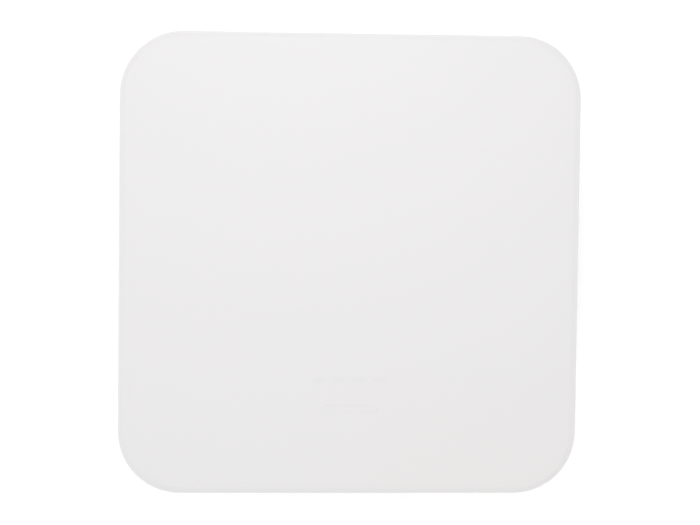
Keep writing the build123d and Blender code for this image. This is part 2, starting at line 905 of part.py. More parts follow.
def power_jack():
    """A barrel socket with its centre pin."""
    x, bottom = port_x["power"], board_bottom - power_height
    body = block(
        (x - power_width / 2, x + power_width / 2),
        (port_face, port_face + power_depth),
        (bottom, board_bottom),
    )
    middle = (bottom + board_bottom) / 2
    along = Rot(-90, 0, 0)
    body -= Pos(x, port_face, middle) * along * Cylinder(power_bore_radius, power_bore_depth, align=LOW)
    body += Pos(x, port_face + 1, middle) * along * Cylinder(power_pin_radius, power_bore_depth, align=LOW)
    return body


def reset_switch():
    """A side-pressed switch behind the pinhole, with a bore for its button."""
    y0 = bay_port_face + bay_wall + reset_gap + reset_button_length / 2
    x = port_x["reset"]
    body = block(
        (x - reset_width / 2, x + reset_width / 2),
        (y0, y0 + reset_depth),
        (board_bottom - reset_height, board_bottom),
    )
    bore = Cylinder(reset_button_radius + reset_fit, reset_button_length / 2 + 2 * reset_travel, align=LOW)
    return body - Pos(x, y0, reset_z) * Rot(-90, 0, 0) * bore


def reset_button():
    """The button that a pin pushes through the pinhole."""
    y0 = bay_port_face + bay_wall + reset_gap
    button = Cylinder(reset_button_radius, reset_button_length, align=LOW)
    return Pos(port_x["reset"], y0, reset_z) * Rot(-90, 0, 0) * button


# ---------------------------------------------------------------- status lights
def status_leds():
    """Four small lights on the board, one under each window."""
    top = board_top + led_height
    return as_one([centred_block(x, window_y, led_width, led_length, board_top, top) for x in window_places])


def light_pipe():
    """One clear moulding: a bar staked to the cover, legs down to the lights, pills up to the face."""
    bottom = antenna_plate_top + pipe_bar_lift
    top = bottom + pipe_bar_thickness
    pipe = centred_block(0, window_y, 2 * pipe_bar_half_length, pipe_bar_width, bottom, top)
    for x in window_places:
        tip_top = face_height(x, window_y, apex) - window_fit
        tip_width, tip_height = window_width - 2 * window_fit, window_height - 2 * window_fit
        pipe += pill(tip_width, tip_height, top, tip_top, x, window_y)
        leg_bottom = board_top + led_height + led_air_gap
        pipe += pill(pipe_leg_width, window_height, leg_bottom, bottom, x, window_y)
    for side in (-1, 1):
        pipe -= post(pipe_stake_radius + window_fit, bottom, top, side * pipe_stake_x, window_y)
    return pipe


# ---------------------------------------------------------------- antennas and their leads
def high_band_places():
    """X, Y and turn of the four 5 GHz antennas, one near each corner, with their plugs' places."""
    x, y = plate_half_x - high_band_inset, plate_half_y - high_band_inset
    plugs = four_ways(board_half_x - high_plug_inset, board_half_y - high_plug_inset)
    return [(place, -45 + 90 * i, plugs[i]) for i, place in enumerate(four_ways(x, y))]


def low_band_places():
    """X, Y and turn of the four 2.4 GHz antennas, one along each side, with their plugs' places."""
    x, y = plate_half_x - low_band_inset, plate_half_y - low_band_inset
    plug_x, plug_y = board_half_x - low_plug_inset, board_half_y - low_plug_inset
    return [
        ((x, -low_band_shift), -90, (plug_x, -low_plug_shift)),
        ((low_band_shift, y), 0, (low_plug_shift, plug_y)),
        ((-x, low_band_shift), 90, (-plug_x, low_plug_shift)),
        ((-low_band_shift, -y), 180, (-low_plug_shift, -plug_y)),
    ]


bluetooth_place = (bluetooth_x, plate_half_y - bluetooth_inset)
bluetooth_plug = (bluetooth_plug_x, board_half_y - bluetooth_plug_inset)


def stamped_antenna(place, turn, length, arm):
    """A folded sheet antenna: a foot on the plate, an upright fin and an arm along its top."""
    (x, y), top = place, antenna_height
    sheet = antenna_sheet
    shape = block((-antenna_foot_width / 2, antenna_foot_width / 2), (-antenna_foot_length, 0), (0, sheet))
    shape += block((-length / 2, length / 2), (-sheet, 0), (0, top))
    shape += block((-length / 2, length / 2), (-sheet, arm), (top - sheet, top))
    shape -= block((antenna_foot_width / 2, length / 2), (-sheet, 0), (0, top / 3))
    return Pos(x, y, antenna_plate_top) * turned(shape, turn)


def bluetooth_antenna():
    """A small printed antenna on its carrier."""
    x, y = bluetooth_place
    return centred_block(
        x, y, bluetooth_width, bluetooth_length, antenna_plate_top, antenna_plate_top + bluetooth_height
    )


def feed_point(place, turn, setback):
    """Where a lead ends beside an antenna that is turned by some degrees about Z."""
    return (place[0] + setback * sin(radians(turn)), place[1] - setback * cos(radians(turn)))


def lead_ends():
    """The name, feed point and plug of each antenna lead."""
    setback = antenna_sheet + coax_end_gap
    ends = []
    for i, (place, turn, plug) in enumerate(high_band_places(), 1):
        ends.append((f"coax_5ghz_{i}", feed_point(place, turn, setback), plug))
    for i, (place, turn, plug) in enumerate(low_band_places(), 1):
        ends.append((f"coax_24ghz_{i}", feed_point(place, turn, setback), plug))
    setback = bluetooth_length / 2 + coax_end_gap
    ends.append(("coax_bluetooth", feed_point(bluetooth_place, 0, setback), bluetooth_plug))
    return ends


def lead_frame(feed, plug):
    """The horizontal direction from plug to feed, the one across it, and the distance."""
    along = Vector(feed[0] - plug[0], feed[1] - plug[1], 0)
    length = along.length
    along = along.normalized()
    return along, Vector(-along.Y, along.X, 0), length


def lead_route(feed, plug):
    """The corners of a lead's path: along the antenna plate, down through its slot, along the board."""
    along, across, length = lead_frame(feed, plug)
    high = antenna_plate_top + antenna_sheet + coax_lift + coax_radius
    low = board_top + coax_lift + coax_radius
    start = Vector(plug[0], plug[1], 0)

    def point(distance, sideways, height):
        return start + along * distance + across * sideways + Vector(0, 0, height)

    exit_distance = plug_size / 2 * sqrt(2)
    return [
        point(length, 0, high),
        point(length - coax_feed_run, coax_weave, high),
        point(exit_distance + coax_plug_run, -coax_weave, low),
        point(exit_distance, 0, low),
    ]


def bend_radii(points):
    """The largest arc that each corner's two runs leave room for."""
    radii = []
    for before, corner, after in zip(points, points[1:], points[2:]):
        arriving, leaving = corner - before, after - corner
        half_turn = radians(arriving.get_angle(leaving)) / 2
        radii.append(0.45 * min(arriving.length, leaving.length) / tan(half_turn))
    return radii


def coax_lead(name, feed, plug):
    """A thin coaxial lead as a round tube along its route."""
    points = lead_route(feed, plug)
    radii = bend_radii(points)
    path = FilletPolyline(*points, radius=radii)
    section = Plane(origin=points[0], z_dir=points[1] - points[0]) * Circle(coax_radius)
    lead = sweep(section, path=path)
    share = lead.volume / (pi * coax_radius**2 * path.length)
    print(name, "bend radii", [round(r, 2) for r in radii], "volume over ideal", round(share, 4))
    return lead


def coax_plugs():
    """A snap-on plug on the board at each lead's end."""
    plugs = []
    for _, feed, plug in lead_ends():
        along, _, _ = lead_frame(feed, plug)
        body = post(plug_size / 2, board_top, board_top + plug_height)
        plugs.append(Pos(plug[0], plug[1], 0) * body)
    return as_one(plugs)


def antenna_plate():
    """The sheet metal reflector under the antennas, with a turned-down edge and the leads' slots."""
    bottom, top = antenna_plate_bottom, antenna_plate_top
    edge_bottom = bottom - antenna_plate_lip
    plate = cut_corner_sheet(plate_half_x, plate_half_y, plate_corner_cut, edge_bottom, top)
    sheet = antenna_plate_thickness
    inner_cut = plate_corner_cut - sheet * (2 - sqrt(2))
    plate -= cut_corner_sheet(plate_half_x - sheet, plate_half_y - sheet, inner_cut, edge_bottom, bottom)
    for x, y in standoff_places:
        plate -= post(small_shank_radius + hole_clearance, bottom, top, x, y)
    window_span = (window_count - 1) * window_pitch + pipe_leg_width + 4
    plate -= pill(window_span, window_height + 4, bottom, top, 0, window_y)
    for _, feed, plug in lead_ends():
        along, _, length = lead_frame(feed, plug)
        middle = (length - coax_feed_run + plug_size / 2 * sqrt(2) + coax_plug_run) / 2
        place = Vector(plug[0], plug[1], 0) + along * middle
        angle = degrees(atan2(along.Y, along.X))
        plate -= pill(coax_slot_length, coax_slot_width, bottom, top, place.X, place.Y, angle)
    return plate


def antenna_plate_screws():
    """Four screws that hold the antenna plate to the spacers."""
    return as_one([pan_screw(x, y, antenna_plate_top, 4.0) for x, y in standoff_places])


# ---------------------------------------------------------------- writing the nodes
def all_nodes():
    """Each node's name and solid, in the order that they go together."""
    yield "bracket_plate", bracket_plate()
    for name, side in (("left", -1), ("right", 1)):
        yield f"rail_hook_{name}", rail_hook(side)
        yield f"rail_hook_screw_{name}", rail_hook_screw(side)
    yield "rear_housing", rear_housing()
    yield "bay_liner", bay_liner()
    yield "mounting_studs", mounting_studs()
    yield "blank_label", blank_label()
    yield "main_board", main_board()
    yield "board_screws", board_screws()
    yield "board_standoffs", board_standoffs()
    yield "processor_chip", processor_chip()
    yield "radio_chips", radio_chips()
    yield "thermal_pads", thermal_pads()
    yield "memory_chips", memory_chips()
    yield "supply_transformer", supply_transformer()
    yield "capacitors", capacitors()
    yield "inductors", inductors()
    for i, (x, y) in enumerate(shield_places, 1):
        yield f"shield_can_{i}", shield_can(x, y)
    yield "front_end_chips", front_end_chips()
    yield "uplink_jack", network_jack("uplink")
    yield "second_jack", network_jack("second")
    yield "jack_contacts", jack_contacts()
    yield "jack_lights", jack_lights()
    yield "usb_port", usb_port()
    yield "power_jack", power_jack()
    yield "reset_switch", reset_switch()
    yield "reset_button", reset_button()
    yield "status_leds", status_leds()
    yield "light_pipe", light_pipe()
    yield "antenna_plate", antenna_plate()
    yield "antenna_plate_screws", antenna_plate_screws()
    for i, (place, turn, _) in enumerate(high_band_places(), 1):
        yield f"antenna_5ghz_{i}", stamped_antenna(place, turn, high_band_length, high_band_arm)
    for i, (place, turn, _) in enumerate(low_band_places(), 1):
        yield f"antenna_24ghz_{i}", stamped_antenna(place, turn, low_band_length, low_band_arm)
    yield "antenna_bluetooth", bluetooth_antenna()
    for name, feed, plug in lead_ends():
        yield name, coax_lead(name, feed, plug)
    yield "coax_plugs", coax_plugs()
    yield "front_cover", front_cover()
    yield "cover_screws", cover_screws()


def main():
    os.makedirs("parts", exist_ok=True)
    for name, shape in all_nodes():
        export_step(shape, f"parts/{name}.step")
        print(name, len(shape.solids()), round(sum(solid.volume for solid in shape.solids()), 1))


if __name__ == "__main__":
    main()
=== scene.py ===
import json
import random
from math import atan2, cos, pi, radians, sin, sqrt, tan

import bmesh
import bpy
from bpy.props import FloatProperty, FloatVectorProperty, IntProperty, PointerProperty
from mathutils import Matrix, Vector
from mathutils.bvhtree import BVHTree

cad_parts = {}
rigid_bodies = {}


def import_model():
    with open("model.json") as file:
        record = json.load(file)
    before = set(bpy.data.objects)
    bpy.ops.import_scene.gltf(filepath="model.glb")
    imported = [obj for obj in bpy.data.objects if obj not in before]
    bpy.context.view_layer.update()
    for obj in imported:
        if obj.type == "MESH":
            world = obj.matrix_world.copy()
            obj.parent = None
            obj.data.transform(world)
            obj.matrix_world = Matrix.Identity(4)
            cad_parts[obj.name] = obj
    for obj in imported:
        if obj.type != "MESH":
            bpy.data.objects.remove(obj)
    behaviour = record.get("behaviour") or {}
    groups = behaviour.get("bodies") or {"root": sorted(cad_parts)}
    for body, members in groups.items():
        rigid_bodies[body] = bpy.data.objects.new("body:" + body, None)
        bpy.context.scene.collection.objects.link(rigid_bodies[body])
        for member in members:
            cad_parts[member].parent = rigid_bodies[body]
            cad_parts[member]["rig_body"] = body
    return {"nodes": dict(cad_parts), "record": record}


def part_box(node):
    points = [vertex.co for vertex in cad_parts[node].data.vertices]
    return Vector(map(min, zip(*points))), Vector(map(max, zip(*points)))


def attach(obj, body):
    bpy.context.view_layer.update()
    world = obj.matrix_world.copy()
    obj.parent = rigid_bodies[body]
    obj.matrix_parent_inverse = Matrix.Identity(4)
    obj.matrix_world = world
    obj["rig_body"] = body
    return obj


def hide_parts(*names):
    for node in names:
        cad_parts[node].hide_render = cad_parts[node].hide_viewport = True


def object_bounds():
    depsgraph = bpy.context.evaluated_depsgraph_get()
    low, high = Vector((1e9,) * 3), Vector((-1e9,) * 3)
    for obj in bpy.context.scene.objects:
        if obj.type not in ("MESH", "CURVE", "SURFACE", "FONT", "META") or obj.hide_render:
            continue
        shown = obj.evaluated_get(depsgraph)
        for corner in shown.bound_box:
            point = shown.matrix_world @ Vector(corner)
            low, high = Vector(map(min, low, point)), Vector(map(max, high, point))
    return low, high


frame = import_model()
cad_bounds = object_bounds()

bl_info = {
    "name": "Ceiling access point",
    "version": (1, 0, 0),
    "blender": (4, 5, 0),
    "location": "3D View > Sidebar > Access point",
    "description": "Dresses the packed model of a ceiling access point and sets up its studio",
    "category": "Object",
}

MM = 0.001
UNIT_BODY = "access_point"  # the body that hangs in the bracket

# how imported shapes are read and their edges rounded
WELD = 2e-6
FLAT_WITHIN = radians(0.6)
SHARP_OVER = radians(35)
EDGE_SEGMENTS = 2
FLAT_FACE_WEIGHT = 80

# how round things are divided
SCREW_STEPS = 20
THREAD_ROWS = 5
POST_STEPS = 32


# ---- values that a user would change
def length(name, description, millimetres):
    """A length property with its default given in millimetres."""
    settings = {"default": millimetres * MM, "unit": "LENGTH", "subtype": "DISTANCE", "precision": 5}
    return FloatProperty(name=name, description=description, **settings)


def angle(name, description, degrees):
    """An angle property with its default given in degrees."""
    return FloatProperty(name=name, description=description, default=radians(degrees), subtype="ANGLE")


def colour(name, description, red, green, blue):
    """A colour property with a linear default."""
    settings = {"default": (red, green, blue), "subtype": "COLOR", "size": 3, "min": 0.0, "max": 1.0}
    return FloatVectorProperty(name=name, description=description, **settings)


def factor(name, description, default):
    """A plain number property."""
    return FloatProperty(name=name, description=description, default=default, min=0.0)


class CoverShape(bpy.types.PropertyGroup):
    """Sizes of the moulded cover. Its overall size comes from the frame."""

    corner_radius: length("Corner radius", "Radius of the outline's corners at the skirt", 29.0)
    wall: length("Wall", "Thickness of the moulding", 2.3)
    draft: angle("Draft", "How far the sides lean in", 2.5)
    edge_radius: length("Edge radius", "Rounding between the sides and the face", 3.5)
    rim_radius: length("Rim radius", "Rounding of the skirt's lower edge", 0.35)
    crown_rise: length("Crown", "Height of the face's middle above the middle of a side edge", 1.2)
    boss_radius: length("Boss radius", "Radius of the screw bosses inside", 4.5)
    boss_bottom: length("Boss end", "Level of the bosses' lower ends", 16.0)
    bore_radius: length("Bore radius", "Radius of the screw bores", 1.5)
    bore_well: length("Bore well", "Depth of the bore beyond the screw's tip", 0.5)
    window_count: IntProperty(name="Windows", description="How many light windows", default=4, min=1)
    window_pitch: length("Window pitch", "Distance between windows", 9.0)
    window_width: length("Window width", "Width of a light window", 5.86)
    window_height: length("Window height", "Height of a light window", 1.86)
    window_y: length("Window row", "Where the row of windows is", -52.0)
    bar_width: length("Bar width", "Width of the plain shallow bar", 26.0)
    bar_height: length("Bar height", "Height of the plain shallow bar", 3.0)
    bar_y: length("Bar place", "Where the plain shallow bar is", -65.0)
    bar_depth: length("Bar depth", "How deep the plain shallow bar is", 0.25)


class EdgeRadii(bpy.types.PropertyGroup):
    """How far the sharp edges of the made parts are broken."""

    sheet: length("Sheet edges", "Rounding of stamped sheet steel", 0.12)
    casting: length("Casting edges", "Rounding of the casting's edges", 0.1)
    moulding: length("Moulding edges", "Rounding of small mouldings", 0.06)
    chip: length("Chip edges", "Rounding of chip packages", 0.08)
    laminate: length("Board edge", "Rounding of the circuit board", 0.05)
    foil: length("Thin sheet edges", "Rounding of antennas and the label", 0.03)


class ScrewShape(bpy.types.PropertyGroup):
    """Sizes of the small pan head screws. Their places and lengths come from the frame."""

    shank_radius: length("Shank radius", "Radius over the thread", 1.45)
    head_height: length("Head height", "From the seat to the top of the head", 1.9)
    pitch: length("Thread pitch", "Distance between turns of the thread", 0.6)
    thread_depth: length("Thread depth", "Depth of the thread's groove", 0.28)
    recess_half: length("Recess arm", "From the middle of the cross recess to an arm's end", 1.45)
    recess_arm: length("Recess width", "Half the width of an arm", 0.32)
    recess_depth: length("Recess depth", "Depth of the cross recess", 1.2)
    plain_length: length("Plain neck", "Length under the head without thread", 0.8)


class BoardParts(bpy.types.PropertyGroup):
    """The small parts soldered to the main board."""

    count: IntProperty(name="Parts", description="How many small parts are placed", default=190, min=0)
    seed: IntProperty(name="Seed", description="Start of the random places", default=11)
    margin: length("Margin", "Clear space round a part", 0.5)
    border: length("Border", "Clear space at the board's edge", 4.0)


class FinishColours(bpy.types.PropertyGroup):
    """Colours of the visible finishes."""

    cover: colour("Cover", "Moulded plastic of the cover", 0.873, 0.860, 0.866)
    cover_warm: colour("Cover, warm", "The slight warm drift over the cover", 0.869, 0.856, 0.842)
    housing: colour("Housing", "Powder coat of the casting", 0.78, 0.78, 0.775)
    steel: colour("Sheet steel", "Galvanised sheet of the bracket", 0.66, 0.675, 0.69)
    solder_mask: colour("Solder mask", "The circuit board's lacquer", 0.012, 0.09, 0.045)
    copper_trace: colour("Traces", "Copper under the lacquer", 0.03, 0.17, 0.075)
    via: colour("Vias", "Bare plating round the vias", 0.62, 0.6, 0.5)


class StudioSettings(bpy.types.PropertyGroup):
    """The floor, lights and camera."""

    distance: length("Camera distance", "From the camera to the cover's face", 900.0)
    outline_share: factor("Outline share", "Share of the picture's width that the cover takes", 0.668)
    side_angle: angle("Side angle", "How far the camera stands to the right of straight above", -4.0)
    upper_angle: angle("Upper angle", "How far the camera stands above straight on", 3.1)
    roll: angle("Roll", "How far the camera is turned about its own axis", 0.67)
    aim_x: length("Aim across", "Where the camera looks, right of the face's middle", -0.37)
    aim_y: length("Aim up", "Where the camera looks, above the face's middle", 1.14)
    key_power: factor("Key light", "Soft light above the upper edge, in watts", 0.255)
    left_power: factor("Left light", "Light beyond the left side, in watts", 0.35)
    lower_power: factor("Lower light", "Light beyond the lower side, in watts", 0.55)
    left_edge_power: factor("Left edge light", "Low light that catches the left edge, in watts", 0.28)
    right_edge_power: factor("Right edge light", "Low light that catches the right edge, in watts", 0.45)
    upper_edge_power: factor("Upper edge light", "Low light that catches the upper edge, in watts", 0.28)
    under_power: factor("Under light", "Light below the floor for the ceiling side, in watts", 2.1)
    overhead_power: factor("Overhead light", "Wide light straight above, in watts", 6.0)
    world_strength: factor("World", "Strength of the even surroundings", 0.575)
    floor_glow: factor("Floor glow", "Light that the pale floor gives by itself", 0.235)


# ---- shader maths
class Value:
    """A shader socket that stands in an arithmetic expression. Each operation adds its Math node."""

    def __init__(self, finish, socket):
        self.finish = finish
        self.socket = socket

    def maths(self, operation, *operands):
        settings = {"operation": operation}
        sockets = {index: operand for index, operand in enumerate(operands)}
        return self.finish.value("ShaderNodeMath", 0, settings, sockets)

    def __add__(self, other):
        return self.maths("ADD", self, other)

    def __radd__(self, other):
        return self.maths("ADD", other, self)

    def __sub__(self, other):
        return self.maths("SUBTRACT", self, other)

    def __rsub__(self, other):
        return self.maths("SUBTRACT", other, self)

    def __mul__(self, other):
        return self.maths("MULTIPLY", self, other)

    def __rmul__(self, other):
        return self.maths("MULTIPLY", other, self)

    def __gt__(self, other):
        return self.maths("GREATER_THAN", self, other)

    def __lt__(self, other):
        return self.maths("LESS_THAN", self, other)

    def clamped(self):
        return self.finish.value("ShaderNodeClamp", 0, {}, {"Value": self})


def finish_name(slot):
    """The name of a slot's finish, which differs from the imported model's own plain materials."""
    return slot + "_finish"


class Finish:
    """A material under construction: one Principled shader and what feeds it."""

    def __init__(self, name, **constants):
        self.material = bpy.data.materials.new(finish_name(name))
        self.material.use_nodes = True
        self.tree = self.material.node_tree
        self.tree.nodes.clear()
        self.shader = self.node("ShaderNodeBsdfPrincipled")
        self.output = self.node("ShaderNodeOutputMaterial")
        self.tree.links.new(self.shader.outputs[0], self.output.inputs["Surface"])
        for socket, value in constants.items():
            self.set(socket.replace("_", " "), value)
        places = self.node("ShaderNodeTexCoord")
        self.place = places.outputs["Object"]

    def node(self, kind, settings=None, sockets=None):
        """Adds a node of a type. Its settings come first, then the values or links of its sockets."""
        made = self.tree.nodes.new(kind)
        for name, value in (settings or {}).items():
            setattr(made, name, value)
        for name, value in (sockets or {}).items():
            self.feed(made.inputs[name], value)
        return made

    def feed(self, socket, value):
        """Links a socket or Value, or sets a constant."""
        if isinstance(value, Value):
            value = value.socket
        if isinstance(value, bpy.types.NodeSocket):
            self.tree.links.new(value, socket)
        elif socket.type == "RGBA":
            socket.default_value = (*value, 1.0)
        else:
            socket.default_value = value

    def set(self, socket, value):
        """Sets or links a socket of the shader."""
        self.feed(self.shader.inputs[socket], value)

    def value(self, kind, output, settings, sockets):
        """A node's output as a Value."""
        return Value(self, self.node(kind, settings, sockets).outputs[output])

    def vector(self, operation, first, second):
        """A Vector Math node's output."""
        sockets = {0: first, "Scale" if operation == "SCALE" else 1: second}
        return self.node("ShaderNodeVectorMath", {"operation": operation}, sockets).outputs[0]

    def noise(self, scale, detail=2.0, stretch=None, roughness=0.5):
        """Even noise from 0 to 1, with its scale in cycles a metre."""
        place = self.vector("MULTIPLY", self.place, stretch) if stretch else self.place
        sockets = {"Vector": place, "Scale": scale, "Detail": detail, "Roughness": roughness}
        return self.value("ShaderNodeTexNoise", "Fac", {}, sockets)

    def dots(self, scale):
        """The distance to the nearest of many scattered points, with the scale in points a metre."""
        return self.value("ShaderNodeTexVoronoi", "Distance", {}, {"Vector": self.place, "Scale": scale})

    def patches(self, scale, place):
        """Scattered patches, each with its own value from 0 to 1."""
        cells = self.node("ShaderNodeTexVoronoi", {}, {"Vector": place, "Scale": scale})
        return self.value("ShaderNodeSeparateColor", 0, {}, {0: cells.outputs["Color"]})

    def along(self, axis):
        """One coordinate in metres."""
        split = self.node("ShaderNodeSeparateXYZ", {}, {0: self.place})
        return Value(self, split.outputs[axis])

    def blend(self, share, first, second):
        """Two colours mixed by a Value."""
        mix = self.node("ShaderNodeMix", {"data_type": "RGBA"}, {0: share, 6: first, 7: second})
        return mix.outputs[2]

    def bump(self, height, distance, strength=1.0, edge=None):
        """Relief whose height is a Value, over an optional softened edge radius."""
        sockets = {"Height": height, "Distance": distance, "Strength": strength}
        if edge:
            sockets["Normal"] = self.soft_edge(edge)
        self.set("Normal", self.node("ShaderNodeBump", {}, sockets).outputs[0])

    def soft_edge(self, radius):
        """Normals that run round sharp edges as if they had that radius."""
        return self.node("ShaderNodeBevel", {"samples": 4}, {"Radius": radius}).outputs[0]


# ---- finishes
def shaded(base, share):
    """A colour brought nearer to black."""
    return tuple(share * part for part in base)


def moulded_cover():
    """Spark-eroded warm white plastic, nearly even, with a slow warm drift."""
    colours = bpy.context.scene.finish_colours
    finish = Finish("cover_plastic", Roughness=0.42, IOR=1.46)
    drift = finish.noise(5.0, detail=1.0)
    grain = finish.noise(5200.0)
    warm_share = (drift - 0.4).clamped() * 1.6
    finish.set("Base Color", finish.blend(warm_share, colours.cover, colours.cover_warm))
    finish.set("Roughness", 0.4 + 0.06 * grain)
    finish.bump(grain, 0.02 * MM, strength=0.35)


def powder_coat():
    """White powder coat on a casting: fine orange peel."""
    colours = bpy.context.scene.finish_colours
    finish = Finish("housing_paint", IOR=1.5)
    peel = finish.noise(900.0, detail=3.0)
    dust = finish.noise(40.0, detail=4.0)
    finish.set("Base Color", finish.blend(dust, colours.housing, shaded(colours.housing, 0.96)))
    finish.set("Roughness", 0.38 + 0.14 * peel)
    finish.bump(peel, 0.06 * MM, strength=0.5, edge=0.4 * MM)


def galvanised_sheet():
    """Zinc coated sheet steel: crystal spangle with a rolled grain and a few drawn scuffs."""
    colours = bpy.context.scene.finish_colours
    finish = Finish("bracket_steel", Metallic=0.85)
    warp = finish.node("ShaderNodeTexNoise", {}, {"Vector": finish.place, "Scale": 150.0, "Detail": 2.0})
    shift = finish.vector("SCALE", warp.outputs["Color"], 6 * MM)
    flake = finish.patches(210.0, finish.vector("ADD", finish.place, shift))
    grain = finish.noise(1400.0, detail=3.0, stretch=(1.0, 0.12, 1.0))
    streaks = finish.noise(60.0, detail=6.0, stretch=(0.15, 1.0, 1.0), roughness=0.7)
    scuff = (streaks - 0.62).clamped() * 3.0
    tone = 0.65 * flake + 0.3 * grain
    finish.set("Base Color", finish.blend(tone, colours.steel, shaded(colours.steel, 0.78)))
    finish.set("Roughness", 0.3 + 0.14 * flake + 0.1 * grain + scuff * 0.3)
    finish.bump(flake * 0.5 + grain, 0.03 * MM, strength=0.5, edge=0.4 * MM)


def circuit_board():
    """Lacquered laminate with copper tracks under the lacquer and scattered bright vias."""
    colours = bpy.context.scene.finish_colours
    finish = Finish("board_laminate", Coat_Weight=0.4, Coat_Roughness=0.12)
    turn = finish.patches(230.0, finish.place) > 0.5
    lines = []
    lines_in_metre, gap_share = 1250.0, 0.55
    for axis in (0, 1):
        place = finish.along(axis) * lines_in_metre
        lines.append(place.maths("FRACT", place) > gap_share)
    tracks = turn * lines[0] + (1.0 - turn) * lines[1]
    ground = finish.noise(28.0, detail=0.0) > 0.55
    copper = (tracks * (1.0 - ground) + ground).clamped()
    via_radius = 0.13
    via = finish.dots(420.0) < via_radius
    lacquer = finish.blend(copper * 0.8, colours.solder_mask, colours.copper_trace)
    finish.set("Base Color", finish.blend(via, lacquer, colours.via))
    finish.set("Metallic", via * 0.9)
    finish.set("Roughness", 0.34 + 0.1 * copper)
    finish.bump(copper, 0.03 * MM, strength=0.5)


def paper_label():
    """Matt film with a faint fibre."""
    finish = Finish("label_film")
    fibre = finish.noise(3000.0, detail=4.0, stretch=(1.0, 0.3, 1.0))
    finish.set("Base Color", finish.blend(fibre, (0.74, 0.74, 0.72), (0.69, 0.69, 0.66)))
    finish.set("Roughness", 0.55 + 0.15 * fibre)
    finish.bump(fibre, 0.01 * MM, strength=0.4)


def plated(name, bright, dark, roughness, grain=2500.0):
    """Plated metal with a fine grain and slightly uneven gloss."""
    finish = Finish(name, Metallic=1.0)
    fine = finish.noise(grain, detail=3.0)
    cloud = finish.noise(120.0)
    finish.set("Base Color", finish.blend(cloud, bright, dark))
    finish.set("Roughness", roughness + 0.1 * cloud)
    finish.bump(fine, 0.01 * MM, strength=0.4, edge=0.2 * MM)


def moulded(name, base, second, roughness, grain=2600.0, depth=0.02):
    """Plain moulded plastic or rubber with a fine grain, its depth in millimetres."""
    finish = Finish(name)
    fine = finish.noise(grain)
    cloud = finish.noise(90.0, detail=3.0)
    finish.set("Base Color", finish.blend(cloud, base, second))
    finish.set("Roughness", roughness + 0.1 * fine)
    finish.bump(fine, depth * MM, strength=0.4, edge=0.15 * MM)


def lead_sleeve(name, base, second):
    """The smooth, slightly uneven sleeve of a coaxial lead."""
    finish = Finish(name)
    cloud = finish.noise(700.0)
    finish.set("Base Color", finish.blend(cloud, base, second))
    finish.set("Roughness", 0.35 + 0.12 * cloud)
    finish.bump(cloud, 0.02 * MM, strength=0.3)


def frosted(name, base, roughness, transmission):
    """Resin with a frosted skin."""
    finish = Finish(name, Transmission_Weight=transmission, IOR=1.49)
    frost = finish.noise(4000.0)
    finish.set("Base Color", finish.blend(frost, base, shaded(base, 0.97)))
    finish.set("Roughness", roughness + 0.1 * frost)


def pale_floor(glow):
    """A pale floor that is clear from below, so that the underside can be looked at."""
    finish = Finish("floor_white", Base_Color=(0.93, 0.93, 0.93), Roughness=0.9)
    finish.set("Emission Color", (1.0, 1.0, 1.0))
    finish.set("Emission Strength", glow)
    below = finish.node("ShaderNodeNewGeometry").outputs["Backfacing"]
    clear = finish.node("ShaderNodeBsdfTransparent").outputs[0]
    mix = finish.node("ShaderNodeMixShader", {}, {0: below, 1: finish.shader.outputs[0], 2: clear})
    finish.tree.links.new(mix.outputs[0], finish.output.inputs["Surface"])
    return finish.material


# two colours that mix in clouds, the least roughness, then the grain where it isn't the usual one
PLATED = {
    "zinc_steel": ((0.55, 0.56, 0.55), (0.48, 0.49, 0.5), 0.32),
    "screw_steel": ((0.66, 0.66, 0.65), (0.6, 0.6, 0.59), 0.2),
    "spacer_brass": ((0.66, 0.5, 0.24), (0.58, 0.43, 0.2), 0.25),
    "capacitor_can": ((0.66, 0.67, 0.68), (0.6, 0.61, 0.62), 0.25),
    "shield_tin": ((0.68, 0.68, 0.66), (0.6, 0.6, 0.58), 0.3),
    "jack_shell": ((0.64, 0.64, 0.63), (0.57, 0.57, 0.56), 0.28),
    "contact_gold": ((0.86, 0.6, 0.24), (0.8, 0.54, 0.2), 0.18),
    "plate_aluminium": ((0.68, 0.69, 0.7), (0.6, 0.61, 0.62), 0.3, 1800.0),
    "antenna_tin": ((0.7, 0.67, 0.58), (0.62, 0.6, 0.52), 0.28),
}
MOULDED = {
    "liner_plastic": ((0.13, 0.135, 0.14), (0.16, 0.165, 0.17), 0.45, 1800.0),
    "chip_black": ((0.018, 0.018, 0.019), (0.028, 0.028, 0.029), 0.5),
    "thermal_pad": ((0.26, 0.31, 0.42), (0.3, 0.35, 0.45), 0.7, 1500.0, 0.04),
    "transformer_ferrite": ((0.03, 0.03, 0.032), (0.06, 0.058, 0.055), 0.55),
    "port_plastic": ((0.015, 0.015, 0.016), (0.024, 0.024, 0.025), 0.38),
    "button_plastic": ((0.42, 0.03, 0.02), (0.36, 0.03, 0.02), 0.35),
    "antenna_carrier": ((0.03, 0.03, 0.03), (0.05, 0.05, 0.05), 0.5),
}
SLEEVES = {
    "coax_grey": ((0.2, 0.2, 0.21), (0.26, 0.26, 0.27)),
    "coax_black": ((0.014, 0.014, 0.015), (0.025, 0.025, 0.026)),
}
# a colour, the least roughness and the share of light that goes through
FROSTED = {
    "jack_light": ((0.62, 0.7, 0.42), 0.25, 0.4),
    "led_lens": ((0.85, 0.83, 0.62), 0.2, 0.5),
    "light_pipe_clear": ((0.873, 0.860, 0.862), 0.38, 0.0),
}


def make_finishes():
    """Makes a finish for every material slot."""
    for make in (moulded_cover, powder_coat, galvanised_sheet, circuit_board, paper_label):
        make()
    for make, table in ((plated, PLATED), (moulded, MOULDED), (lead_sleeve, SLEEVES), (frosted, FROSTED)):
        for slot, look in table.items():
            make(slot, *look)


